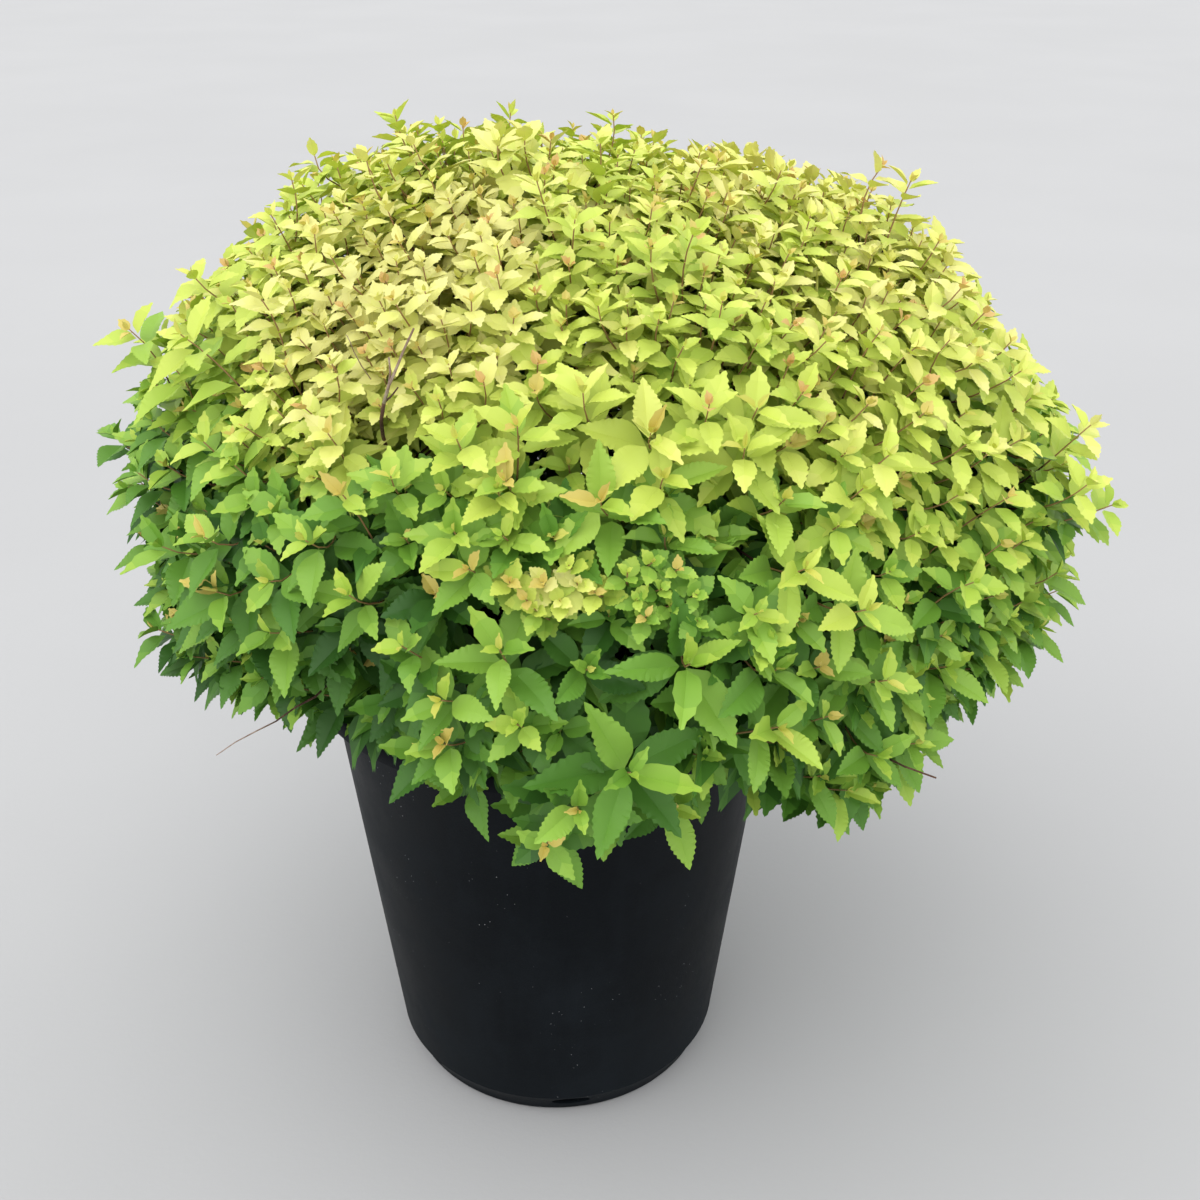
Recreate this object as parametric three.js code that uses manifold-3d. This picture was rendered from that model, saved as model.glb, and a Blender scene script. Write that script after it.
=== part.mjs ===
// A golden-leaved spirea, grown as one dense mound, in its black nursery pot.
// Millimetres, +Z up. The origin is the centre of the pot's flat underside, and -Y is the front.
import * as THREE from "three";
import { mergeVertices } from "three/addons/utils/BufferGeometryUtils.js";
import Module from "manifold-3d";

const wasm = await Module();
wasm.setup();

// ---- Driving dimensions -------------------------------------------------------------------------
const CLEARANCE = 0.3; // between neighbouring pieces
const SLIVER = 0.05; // detail smaller than this is smoothed away after the joins
const WELD = 1e-3; // corners closer than this are one

// Pot: a tapered shell with a stepped rim, a tucked-in foot and drain holes round its base
const POT_HEIGHT = 285;
const POT_WALL = 2.5;
const POT_SIDES = 32;
const RIM_RADIUS = 145;
const RIM_HEIGHT = 11.5;
const RIM_ROUND = 1.4;
const RIM_UNDERCUT = 0.6; // how much the rim narrows inside towards its ledge
const SHOULDER_RADIUS = 133.4; // wall just under the rim
const FOOT_TOP_RADIUS = 104.4; // wall just above the foot
const FOOT_HEIGHT = 17;
const FOOT_STEP = 1.6;
const FOOT_STEP_HEIGHT = 1;
const BASE_RADIUS = 98;
const BASE_ROUND = 4.5;
const BASE_THICKNESS = 3;
const DRAIN_COUNT = 6;
const DRAIN_WIDTH = 24;
const DRAIN_HEIGHT = 7;
const DRAIN_FLOOR = 7; // lowest point of a drain above the underside
const DRAIN_TURN = -84; // degrees, first drain
const DRAIN_DEPTH = 12.5; // of the cutter, most of it inside the wall
const DRAIN_CURVE = 3; // straight stretches in a quarter of a drain's outline

// Potting mix
const SOIL_LEVEL = 258;
const SOIL_CROWN = 3; // the surface rises this much to its middle

// Short woody stem that all the boughs leave
const STEM_HEIGHT = 58;
const STEM_FLARE_RADIUS = 24;
const STEM_RADIUS = 15;
const STEM_TOP_RADIUS = 11;
const STEM_LEAN = 0.1; // sideways shift for each millimetre of height
const STEM_SIDES = 14;
const STEM_PROFILE = [
  [STEM_FLARE_RADIUS, 0],
  [STEM_FLARE_RADIUS * 0.8, 6],
  [STEM_RADIUS + 1, 16],
  [STEM_RADIUS, 34],
  [STEM_TOP_RADIUS, STEM_HEIGHT - 3],
  [STEM_TOP_RADIUS - 4, STEM_HEIGHT],
]; // radius, height

// Crown: a dome round one centre, swollen or dented by tufts
const CROWN_CENTRE = new THREE.Vector3(14, 10, 348);
const CROWN_LEFT = 270;
const CROWN_RIGHT = 312;
const CROWN_FRONT = 222;
const CROWN_BACK = 276;
const CROWN_RISE = 228;
const CROWN_DROP = 126;
const CROWN_SQUARENESS = 2.25; // 2 would be an ellipsoid
// Each tuft: where it is, in degrees, how wide it is and what share of the reach it adds.
const TUFTS = [
  { azimuth: -95, elevation: -34, spread: 30, rise: 0.16 }, // hangs over the rim in front
  { azimuth: -34, elevation: -26, spread: 20, rise: 0.14 }, // hangs at the right
  { azimuth: 5, elevation: 52, spread: 16, rise: 0.08 }, // right shoulder
  { azimuth: 165, elevation: 66, spread: 22, rise: 0.09 }, // top left
  { azimuth: 60, elevation: 20, spread: 25, rise: 0.06 }, // back
  { azimuth: 150, elevation: -20, spread: 22, rise: 0.08 }, // back left
  { azimuth: -152, elevation: -30, spread: 20, rise: -0.16 }, // thin spot above the rim
  { azimuth: 4, elevation: -22, spread: 18, rise: -0.06 }, // thin spot at the right
];

// Masses of foliage: rings of cells that part the dome between them. Angles are in degrees, and
// fork is the height on the stem where the boughs of a ring begin.
const RINGS = [
  { name: "top", count: 1, elevation: 90, turn: 0, shoots: 9, fork: 48, colour: 0xd6d763 },
  { name: "upper", count: 5, elevation: 33, turn: -64, shoots: 11, fork: 40, colour: 0xbccf55 },
  { name: "lower", count: 7, elevation: -12, turn: -90, shoots: 12, fork: 22, colour: 0x8cb447 },
];
const FIRST_SEED = 401;
const SEED_STEP = 7919;
const CELL_MARGIN = 1.2; // from a mass to the plane it shares with its neighbour
const INNER_SHARE = 0.4; // of the reach: where a bough ends and its mass begins
const CORE_SHARE = 0.74; // of the reach: where the leafy core of a mass ends
const CORE_MARGIN = 2.5; // from a core to the planes it shares with its neighbours
const CORE_DETAIL = 4; // facets of the dome that the cores are cut from
const CORE_RIM_GAP = 12; // below the rim, cores stay this far out from it
const CORE_SEED = 5;
const CORE_SINK = 0.08; // how unevenly the core is faceted

// Boughs
const BOUGH_FOOT_RADIUS = 4.6;
const BOUGH_TIP_RADIUS = 2.8;
const BOUGH_SIDES = 5;
const BOUGH_STEPS = 4;
const BOUGH_SWEEP = 0.5; // of its length: how early a bough turns towards its mass

// Shoots and leaves
const SHOOT_TRIES = 160; // candidates drawn for each shoot's tip
const SHOOT_RADIUS = 2.6;
const SHOOT_TIP_RADIUS = 1.7;
const SHOOT_SIDES = 3;
const SHOOT_STEPS = 2;
const SHOOT_STARTS = [0.46, 0.66]; // of the reach: the stretch of a mass's stem that bears shoots
const SHOOT_OUTWARD = 0.3; // how strongly a shoot sets out along its mass's axis
const SHOOT_BEND = 0.4; // where along the way it has turned to its tip
const LEADER_SHARE = 0.72; // of the reach: where a mass's own stem ends
const TIP_SHARE = 0.93; // of the reach: where a shoot ends
const TIP_UNEVEN = 0.05; // how far short of that it may end
const LEAF_REACH = 1.05; // how far leaves may stand out of the dome
const TIP_MARGIN = 8; // from a tip to the planes of its cell
const LOWEST_TIP = -52; // degrees below the crown's centre
const LEAVES_PER_SHOOT = 3;
const LEAF_LENGTHS = [42, 74]; // youngest, oldest
const LEAF_TILTS = [46, 84]; // degrees from the shoot
const LEAF_TILT_SPREAD = 10;
const LEAF_SIZE_SPREAD = [0.88, 1.08];
const LEAF_FIRST = 2; // from the shoot's tip to the first leaf
const LEAF_SPACING = 10; // along the shoot
const LEAF_SINK = 0.3; // how far a leaf's root passes the axis of its shoot
const LEAF_WIDTH_SHARE = 0.5;
const LEAF_WIDEST = 0.42; // of the length, from the root
const LEAF_MIDDLE = 0.6; // of the length, where its neighbours keep clear
const LEAF_THICKNESS_SHARE = 0.045;
const LEAF_FOLD_SHARE = 0.07; // how far the edges rise above the midrib
const LEAF_SPIRAL = 137.5; // degrees from one leaf to the next
const LEAF_ROOM = 0.42; // least distance between leaf middles, as a share of the length
const LEAF_TRIES = 8; // turns tried before a leaf is left out
const LEAF_TRY_TURN = 45; // degrees between those
const RIM_KEEP_OUT = 3; // foliage stays this far from the pot

const POT_COLOUR = { color: 0x1b1e21, roughness: 0.55, metalness: 0 };
const SOIL_COLOUR = { color: 0x3b2b20, roughness: 0.95, metalness: 0 };
const BARK_COLOUR = { color: 0x5b4030, roughness: 0.9, metalness: 0 };
const LEAF_ROUGHNESS = 0.62;

// ---- Shared tools -------------------------------------------------------------------------------
function seeded(seed) {
  let state = seed >>> 0;
  return () => {
    state = (state + 0x6d2b79f5) >>> 0;
    let mixed = Math.imul(state ^ (state >>> 15), state | 1);
    mixed ^= mixed + Math.imul(mixed ^ (mixed >>> 7), mixed | 61);
    return ((mixed ^ (mixed >>> 14)) >>> 0) / 2 ** 32;
  };
}

function mix(from, to, share) {
  return from + (to - from) * share;
}

// A closed geometry as a solid: shared corners are merged and collapsed triangles dropped.
function solidOf(geometry) {
  const bare = geometry.clone();
  bare.deleteAttribute("normal");
  bare.deleteAttribute("uv");
  const merged = mergeVertices(bare, WELD);
  const corners = [];
  for (let i = 0; i < merged.index.count; i += 3) {
    const [a, b, c] = [0, 1, 2].map((k) => merged.index.getX(i + k));
    if (a !== b && b !== c && c !== a) corners.push(a, b, c);
  }
  return new wasm.Manifold(
    new wasm.Mesh({
      numProp: 3,
      vertProperties: merged.attributes.position.array,
      triVerts: new Uint32Array(corners),
    }),
  );
}

function geometryOf(solid) {
  const { vertProperties, triVerts } = solid.getMesh();
  const geometry = new THREE.BufferGeometry();
  geometry.setAttribute("position", new THREE.BufferAttribute(vertProperties, 3));
  geometry.setIndex(new THREE.BufferAttribute(triVerts, 1));
  return geometry;
}

// The largest single body of a solid once its slivers are closed up and its corners welded:
// sealed hollows come out filled and loose scraps are dropped.
function mainBody(solid) {
  const bodies = solidOf(geometryOf(solid.simplify(SLIVER))).decompose();
  return bodies.reduce((best, body) => (body.volume() > best.volume() ? body : best));
}

function meshOf(name, solid, material) {
  const geometry = geometryOf(solid);
  geometry.computeVertexNormals();
  const mesh = new THREE.Mesh(geometry, new THREE.MeshStandardMaterial(material));
  mesh.name = name;
  return mesh;
}

// A profile of [radius, height] pairs turned about the Z axis.
function turned(profile, sides) {
  const lathe = new THREE.LatheGeometry(
    profile.map(([radius, height]) => new THREE.Vector2(radius, height)),
    sides,
  );
  return lathe.rotateX(Math.PI / 2);
}

// A plain upright cylinder on the ground, as room for something.
function drum(radius, height) {
  return solidOf(turned([[0, 0], [radius, 0], [radius, height], [0, height]], POT_SIDES));
}

// A tapering round limb along a curve: a closed cylinder whose rings are moved onto the curve.
function limb(curve, footRadius, tipRadius, sides, steps) {
  const limbGeometry = new THREE.CylinderGeometry(tipRadius, footRadius, 1, sides, steps);
  const frames = curve.computeFrenetFrames(steps, false);
  const position = limbGeometry.attributes.position;
  for (let i = 0; i < position.count; i++) {
    const step = Math.round((position.getY(i) + 0.5) * steps);
    const point = curve.getPointAt(step / steps);
    point.addScaledVector(frames.normals[step], position.getX(i));
    point.addScaledVector(frames.binormals[step], -position.getZ(i));
    position.setXYZ(i, point.x, point.y, point.z);
  }
  return solidOf(limbGeometry);
}

// ---- Pot ----------------------------------------------------------------------------------------
const LEDGE = POT_HEIGHT - RIM_HEIGHT; // where the wall steps out into the rim

function potProfile() {
  const rimInner = RIM_RADIUS - POT_WALL;
  return [
    [0, 0],
    [BASE_RADIUS - BASE_ROUND, 0],
    [BASE_RADIUS - BASE_ROUND * 0.3, BASE_ROUND * 0.3],
    [BASE_RADIUS, BASE_ROUND],
    [FOOT_TOP_RADIUS - FOOT_STEP, FOOT_HEIGHT - FOOT_STEP_HEIGHT],
    [FOOT_TOP_RADIUS, FOOT_HEIGHT],
    [SHOULDER_RADIUS, LEDGE],
    [RIM_RADIUS - RIM_ROUND, LEDGE],
    [RIM_RADIUS, LEDGE + RIM_ROUND],
    [RIM_RADIUS, POT_HEIGHT - RIM_ROUND],
    [RIM_RADIUS - RIM_ROUND / 2, POT_HEIGHT],
    [rimInner, POT_HEIGHT],
    [rimInner - RIM_UNDERCUT, LEDGE + POT_WALL],
    [SHOULDER_RADIUS - POT_WALL, LEDGE + POT_WALL],
    [wallRadius(BASE_THICKNESS) - POT_WALL, BASE_THICKNESS],
    [0, BASE_THICKNESS],
  ];
}

// Outer radius of the tapered wall at a height.
function wallRadius(height) {
  const share = (height - FOOT_HEIGHT) / (LEDGE - FOOT_HEIGHT);
  return mix(FOOT_TOP_RADIUS, SHOULDER_RADIUS, share) - (height < FOOT_HEIGHT ? FOOT_STEP : 0);
}

function drainHole(index) {
  const outline = new THREE.Shape();
  outline.absellipse(0, 0, DRAIN_WIDTH / 2, DRAIN_HEIGHT / 2, 0, Math.PI * 2);
  const hole = new THREE.ExtrudeGeometry(outline, {
    depth: DRAIN_DEPTH,
    bevelEnabled: false,
    curveSegments: DRAIN_CURVE,
  });
  const turn = THREE.MathUtils.degToRad(DRAIN_TURN + (360 / DRAIN_COUNT) * index);
  hole.rotateX(Math.PI / 2);
  hole.rotateZ(Math.PI / 2);
  const inward = wallRadius(FOOT_HEIGHT / 2) - DRAIN_DEPTH * 0.7;
  hole.translate(inward, 0, DRAIN_FLOOR + DRAIN_HEIGHT / 2);
  hole.rotateZ(turn);
  return solidOf(hole);
}

function potSolid() {
  let pot = solidOf(turned(potProfile(), POT_SIDES));
  for (let i = 0; i < DRAIN_COUNT; i++) pot = pot.subtract(drainHole(i));
  return pot;
}

// ---- Potting mix and stem -----------------------------------------------------------------------
function soilSolid() {
  const inner = (height) => wallRadius(height) - POT_WALL - CLEARANCE * 2;
  const floor = BASE_THICKNESS + CLEARANCE;
  return solidOf(
    turned(
      [
        [0, floor],
        [inner(floor), floor],
        [inner(SOIL_LEVEL) - 1, SOIL_LEVEL - 1],
        [inner(SOIL_LEVEL) * 0.6, SOIL_LEVEL + SOIL_CROWN * 0.6],
        [STEM_FLARE_RADIUS + 4, SOIL_LEVEL + SOIL_CROWN],
        [0, SOIL_LEVEL + SOIL_CROWN],
      ],
      POT_SIDES,
    ),
  );
}

const STEM_FOOT = SOIL_LEVEL + SOIL_CROWN + CLEARANCE;

// The stem's axis at a height above its foot.
function stemAxis(height) {
  return new THREE.Vector3(STEM_LEAN * height, 0, STEM_FOOT + height);
}

// The stem, or with a margin the room it takes.
function stemSolid(margin) {
  const profile = STEM_PROFILE.map(([radius, height]) => [radius + margin, height]);
  profile[0][1] -= margin;
  profile.at(-1)[1] += margin;
  profile.unshift([0, profile[0][1]]);
  profile.push([0, profile.at(-1)[1]]);
  const lean = new THREE.Matrix4().makeShear(0, 0, 0, 0, STEM_LEAN, 0);
  return solidOf(turned(profile, STEM_SIDES).applyMatrix4(lean).translate(0, 0, STEM_FOOT));
}

// ---- Crown: its outline and the cells of its masses ---------------------------------------------
// How far the crown reaches from its centre in a direction.
function crownReach(direction) {
  const { x, y, z } = direction;
  const flat = Math.hypot(
    x / (x > 0 ? CROWN_RIGHT : CROWN_LEFT),
    y / (y > 0 ? CROWN_BACK : CROWN_FRONT),
  );
  const tall = Math.abs(z) / (z > 0 ? CROWN_RISE : CROWN_DROP);
  const dome = (flat ** CROWN_SQUARENESS + tall ** CROWN_SQUARENESS) ** (-1 / CROWN_SQUARENESS);
  const tufts = TUFTS.map((tuft) => {
    const apart = direction.angleTo(heading(tuft.azimuth, tuft.elevation));
    return tuft.rise * Math.exp(-((apart / THREE.MathUtils.degToRad(tuft.spread)) ** 2));
  });
  return dome * tufts.reduce((sum, rise) => sum + rise, 1);
}

function heading(azimuth, elevation) {
  const [turn, lift] = [azimuth, elevation].map(THREE.MathUtils.degToRad);
  return new THREE.Vector3(
    Math.cos(lift) * Math.cos(turn),
    Math.cos(lift) * Math.sin(turn),
    Math.sin(lift),
  );
}

function massList() {
  const masses = [];
  for (const ring of RINGS) {
    for (let i = 0; i < ring.count; i++) {
      const direction = heading(ring.turn + (360 / ring.count) * i, ring.elevation);
      masses.push({
        ring,
        direction,
        name: ring.count > 1 ? ring.name + "_" + (i + 1) : ring.name,
        seed: FIRST_SEED + masses.length * SEED_STEP,
        reach: crownReach(direction),
      });
    }
  }
  for (const mass of masses) {
    mass.walls = masses
      .filter((other) => other !== mass)
      .map((other) => mass.direction.clone().sub(other.direction).normalize());
    mass.gate = along(mass, INNER_SHARE);
  }
  return masses;
}

// The point of a mass's own axis at a share of its reach.
function along(mass, share) {
  return CROWN_CENTRE.clone().addScaledVector(mass.direction, mass.reach * share);
}

function clearOfPot(point, margin) {
  const outside = Math.hypot(point.x, point.y) > RIM_RADIUS + margin;
  return outside || point.z > POT_HEIGHT + margin;
}

// Whether a point lies in the space of a mass.
function inSpace(mass, point, margin, outerShare) {
  const ray = point.clone().sub(CROWN_CENTRE);
  const distance = ray.length();
  const beyondGate = point.clone().sub(mass.gate).dot(mass.direction) > margin;
  return (
    beyondGate &&
    clearOfPot(point, RIM_KEEP_OUT + margin) &&
    mass.walls.every((wall) => ray.dot(wall) > margin) &&
    distance < crownReach(ray.divideScalar(distance)) * outerShare
  );
}

// ---- Boughs -------------------------------------------------------------------------------------
function boughSolid(mass, stemRoom) {
  const start = stemAxis(mass.ring.fork);
  const sweep = mass.gate.distanceTo(start) * BOUGH_SWEEP;
  const bend = mass.gate.clone().addScaledVector(mass.direction, -sweep);
  const curve = new THREE.QuadraticBezierCurve3(start, bend, mass.gate);
  const whole = limb(curve, BOUGH_FOOT_RADIUS, BOUGH_TIP_RADIUS, BOUGH_SIDES, BOUGH_STEPS);
  return mainBody(whole.subtract(stemRoom));
}

// ---- Masses of foliage --------------------------------------------------------------------------
// The dense inside of the whole crown: a faceted dome under the leaves.
function innerDome() {
  const random = seeded(CORE_SEED);
  const dome = new THREE.IcosahedronGeometry(1, CORE_DETAIL);
  dome.deleteAttribute("normal");
  dome.deleteAttribute("uv");
  const merged = mergeVertices(dome);
  const position = merged.attributes.position;
  for (let i = 0; i < position.count; i++) {
    const way = new THREE.Vector3().fromBufferAttribute(position, i).normalize();
    const share = CORE_SHARE * (1 - CORE_SINK * random());
    const point = CROWN_CENTRE.clone().addScaledVector(way, crownReach(way) * share);
    position.setXYZ(i, point.x, point.y, point.z);
  }
  return solidOf(merged).subtract(drum(RIM_RADIUS + CORE_RIM_GAP, POT_HEIGHT + RIM_KEEP_OUT));
}

// The core of one mass: the part of the inner dome between the walls of its cell.
function coreSolid(mass, dome) {
  const cell = mass.walls.reduce(
    (rest, wall) => rest.trimByPlane(wall.toArray(), wall.dot(CROWN_CENTRE) + CORE_MARGIN),
    dome,
  );
  const inside = mass.gate.dot(mass.direction) + CORE_MARGIN * 2;
  return cell.trimByPlane(mass.direction.toArray(), inside);
}

// Tips of the shoots, each the loneliest of several candidates over the cell's part of the dome.
function shootTips(mass, random) {
  const tips = [];
  while (tips.length < mass.ring.shoots) {
    let best = null;
    for (let i = 0; i < SHOOT_TRIES; i++) {
      const way = new THREE.Vector3(random() - 0.5, random() - 0.5, random() - 0.5).normalize();
      const share = TIP_SHARE - TIP_UNEVEN * random();
      const point = CROWN_CENTRE.clone().addScaledVector(way, crownReach(way) * share);
      const low = way.z < Math.sin(THREE.MathUtils.degToRad(LOWEST_TIP));
      if (low || !inSpace(mass, point, TIP_MARGIN, 1)) continue;
      const room = Math.min(...tips.map((tip) => tip.distanceTo(point)), 1000);
      if (!best || room > best.room) best = { point, room };
    }
    if (best) tips.push(best.point);
  }
  return tips;
}

// One shoot: it leaves the mass's stem low down and bends out to its tip.
function shootCurve(mass, tip, random) {
  const start = along(mass, mix(...SHOOT_STARTS, random()));
  const outward = start.distanceTo(tip) * SHOOT_OUTWARD;
  const bend = start.clone().addScaledVector(mass.direction, outward).lerp(tip, SHOOT_BEND);
  return new THREE.QuadraticBezierCurve3(start, bend, tip);
}

// A leaf: a folded kite of eight faces, widest below its middle, root at the origin, along +X.
function leafGeometry(length) {
  const leaf = new THREE.OctahedronGeometry(1);
  const position = leaf.attributes.position;
  for (let i = 0; i < position.count; i++) {
    const [x, y, z] = [position.getX(i), position.getY(i), position.getZ(i)];
    const forward = x === 0 ? LEAF_WIDEST : (x + 1) / 2;
    const rise = Math.abs(y) * LEAF_FOLD_SHARE + (z * LEAF_THICKNESS_SHARE) / 2;
    position.setXYZ(i, forward * length, (y * length * LEAF_WIDTH_SHARE) / 2, rise * length);
  }
  return leaf;
}

// Places a leaf on a shoot: root on the axis, turned round it by spin and tipped out by tilt.
function leafMatrix(root, axis, spin, tilt) {
  const side = new THREE.Vector3(0, 0, 1).cross(axis);
  if (side.lengthSq() < 1e-4) side.set(1, 0, 0);
  side.normalize().applyAxisAngle(axis, spin);
  const forward = axis.clone().multiplyScalar(Math.cos(tilt)).addScaledVector(side, Math.sin(tilt));
  const upward = axis.clone().multiplyScalar(Math.sin(tilt)).addScaledVector(side, -Math.cos(tilt));
  const across = upward.clone().cross(forward);
  const sunk = root.clone().addScaledVector(forward, -LEAF_SINK);
  return new THREE.Matrix4().makeBasis(forward, across, upward).setPosition(sunk);
}

// The leaves of one shoot, oldest last; taken holds the middles of the leaves already there.
function leavesOf(mass, curve, random, taken) {
  const leaves = [];
  const [last, tip] = curve.getSpacedPoints(SHOOT_STEPS).slice(-2);
  const axis = tip.clone().sub(last).normalize();
  const firstSpin = random() * Math.PI * 2;
  for (let i = 0; i < LEAVES_PER_SHOOT; i++) {
    const age = i / (LEAVES_PER_SHOOT - 1);
    const root = tip.clone().addScaledVector(axis, -LEAF_FIRST - LEAF_SPACING * i);
    const size = mix(...LEAF_LENGTHS, age) * mix(...LEAF_SIZE_SPREAD, random());
    const lean = mix(...LEAF_TILTS, age) + LEAF_TILT_SPREAD * (random() - 0.5);
    const tilt = THREE.MathUtils.degToRad(lean);
    for (let attempt = 0; attempt < LEAF_TRIES; attempt++) {
      const turn = LEAF_SPIRAL * i + LEAF_TRY_TURN * attempt;
      const spin = firstSpin + THREE.MathUtils.degToRad(turn);
      const matrix = leafMatrix(root, axis, spin, tilt);
      const leaf = leafGeometry(size).applyMatrix4(matrix);
      const middle = new THREE.Vector3(size * LEAF_MIDDLE, 0, 0).applyMatrix4(matrix);
      const crowded = taken.some((other) => other.distanceTo(middle) < size * LEAF_ROOM);
      if (crowded || !fits(mass, leaf)) continue;
      taken.push(middle);
      leaves.push(solidOf(leaf));
      break;
    }
  }
  return leaves;
}

// Whether all of a leaf but its root lies in its mass's space and outside the core.
function fits(mass, leaf) {
  const corner = new THREE.Vector3();
  for (let i = 0; i < leaf.attributes.position.count; i++) {
    corner.fromBufferAttribute(leaf.attributes.position, i);
    if (!inSpace(mass, corner, CELL_MARGIN, LEAF_REACH)) return false;
    if (inSpace(mass, corner, CELL_MARGIN, CORE_SHARE)) return false;
  }
  return true;
}

function massSolid(mass, dome, potRoom) {
  const random = seeded(mass.seed);
  const foot = mass.gate.clone().addScaledVector(mass.direction, CLEARANCE);
  const leader = new THREE.LineCurve3(foot, along(mass, LEADER_SHARE));
  let whole = limb(leader, BOUGH_TIP_RADIUS, BOUGH_TIP_RADIUS * 0.7, BOUGH_SIDES, 1);
  whole = whole.add(coreSolid(mass, dome));
  const taken = [];
  for (const tip of shootTips(mass, random)) {
    const curve = shootCurve(mass, tip, random);
    whole = whole.add(limb(curve, SHOOT_RADIUS, SHOOT_TIP_RADIUS, SHOOT_SIDES, SHOOT_STEPS));
    for (const leaf of leavesOf(mass, curve, random, taken)) whole = whole.add(leaf);
  }
  return mainBody(whole.subtract(potRoom));
}

// ---- Assembly -----------------------------------------------------------------------------------
function spirea() {
  const plant = new THREE.Group();
  plant.add(meshOf("pot", potSolid(), POT_COLOUR));
  plant.add(meshOf("potting_soil", soilSolid(), SOIL_COLOUR));
  plant.add(meshOf("stem", stemSolid(0), BARK_COLOUR));
  const stemRoom = stemSolid(CLEARANCE);
  const potRoom = drum(RIM_RADIUS + 1, POT_HEIGHT + 1);
  const dome = innerDome();
  for (const mass of massList()) {
    plant.add(meshOf("bough_" + mass.name, boughSolid(mass, stemRoom), BARK_COLOUR));
    plant.add(
      meshOf("foliage_" + mass.name, massSolid(mass, dome, potRoom), {
        color: mass.ring.colour,
        roughness: LEAF_ROUGHNESS,
        metalness: 0,
      }),
    );
  }
  return plant;
}

export default spirea();
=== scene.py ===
"""A golden-leaved spirea shrub in its black nursery pot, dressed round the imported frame.

Metres, +Z up. The origin is the centre of the pot's flat underside, and -Y is the front.
"""

import math
from types import SimpleNamespace

import bpy
import numpy as np
from bpy.props import FloatProperty, FloatVectorProperty, IntProperty, PointerProperty
from mathutils import Matrix, Vector, noise


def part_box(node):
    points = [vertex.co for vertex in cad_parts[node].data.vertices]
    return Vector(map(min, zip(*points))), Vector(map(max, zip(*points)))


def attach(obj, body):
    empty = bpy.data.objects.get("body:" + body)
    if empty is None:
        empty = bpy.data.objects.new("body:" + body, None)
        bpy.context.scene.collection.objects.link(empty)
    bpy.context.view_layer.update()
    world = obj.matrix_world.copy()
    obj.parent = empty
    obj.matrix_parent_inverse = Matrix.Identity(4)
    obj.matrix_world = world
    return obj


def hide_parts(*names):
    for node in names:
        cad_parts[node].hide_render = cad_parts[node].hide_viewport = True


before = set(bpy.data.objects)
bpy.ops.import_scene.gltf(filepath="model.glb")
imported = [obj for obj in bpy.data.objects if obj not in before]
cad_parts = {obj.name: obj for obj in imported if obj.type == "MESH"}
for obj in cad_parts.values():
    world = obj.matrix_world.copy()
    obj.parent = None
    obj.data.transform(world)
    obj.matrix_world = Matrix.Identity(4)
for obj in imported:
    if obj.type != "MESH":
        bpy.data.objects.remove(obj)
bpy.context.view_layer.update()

bl_info = {
    "name": "Potted Golden Spirea",
    "version": (1, 0, 0),
    "blender": (4, 5, 0),
    "location": "View3D > Sidebar > Spirea",
    "description": "Dresses a mounded spirea shrub and its nursery pot with bark, leaves and plastic",
    "category": "Object",
}

BODY = "root"
MM = 0.001

# ---- Sizes of the pot, taken from the frame ------------------------------------------------------
POT_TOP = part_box("pot")[1].z
RIM_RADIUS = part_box("pot")[1].x
SOIL_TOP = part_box("potting_soil")[1].z
STEM_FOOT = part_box("stem")[0].z
STEM_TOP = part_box("stem")[1].z
POT_WALL = 2.5 * MM
RIM_HEIGHT = 11.5 * MM
LEDGE = POT_TOP - RIM_HEIGHT
SHOULDER_RADIUS = 133.4 * MM
FOOT_TOP_RADIUS = 104.4 * MM
FOOT_HEIGHT = 17 * MM
FOOT_STEP = 1.6 * MM
BASE_RADIUS = 98 * MM
BASE_ROUND = 4.5 * MM
BASE_THICKNESS = 3 * MM
DRAIN_COUNT = 6
DRAIN_WIDTH = 24 * MM
DRAIN_HEIGHT = 7 * MM
DRAIN_FLOOR = 7 * MM
DRAIN_TURN = -84
DRAIN_REACH = 16 * MM

# ---- The crown's outline, as the solids have it --------------------------------------------------
CROWN_CENTRE = np.array((14, 10, 348)) * MM
CROWN_LEFT = 270 * MM
CROWN_RIGHT = 312 * MM
CROWN_FRONT = 222 * MM
CROWN_BACK = 276 * MM
CROWN_RISE = 228 * MM
CROWN_DROP = 126 * MM
CROWN_SQUARENESS = 2.25
# Each tuft: azimuth, elevation and spread in degrees, and the share of the reach that it adds.
TUFTS = [
    (-95, -34, 30, 0.16), (-34, -26, 20, 0.14), (5, 52, 16, 0.08), (165, 66, 22, 0.09), (60, 20, 25, 0.06),
    (150, -20, 22, 0.08), (-152, -30, 20, -0.16), (4, -22, 18, -0.06),
]
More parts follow.
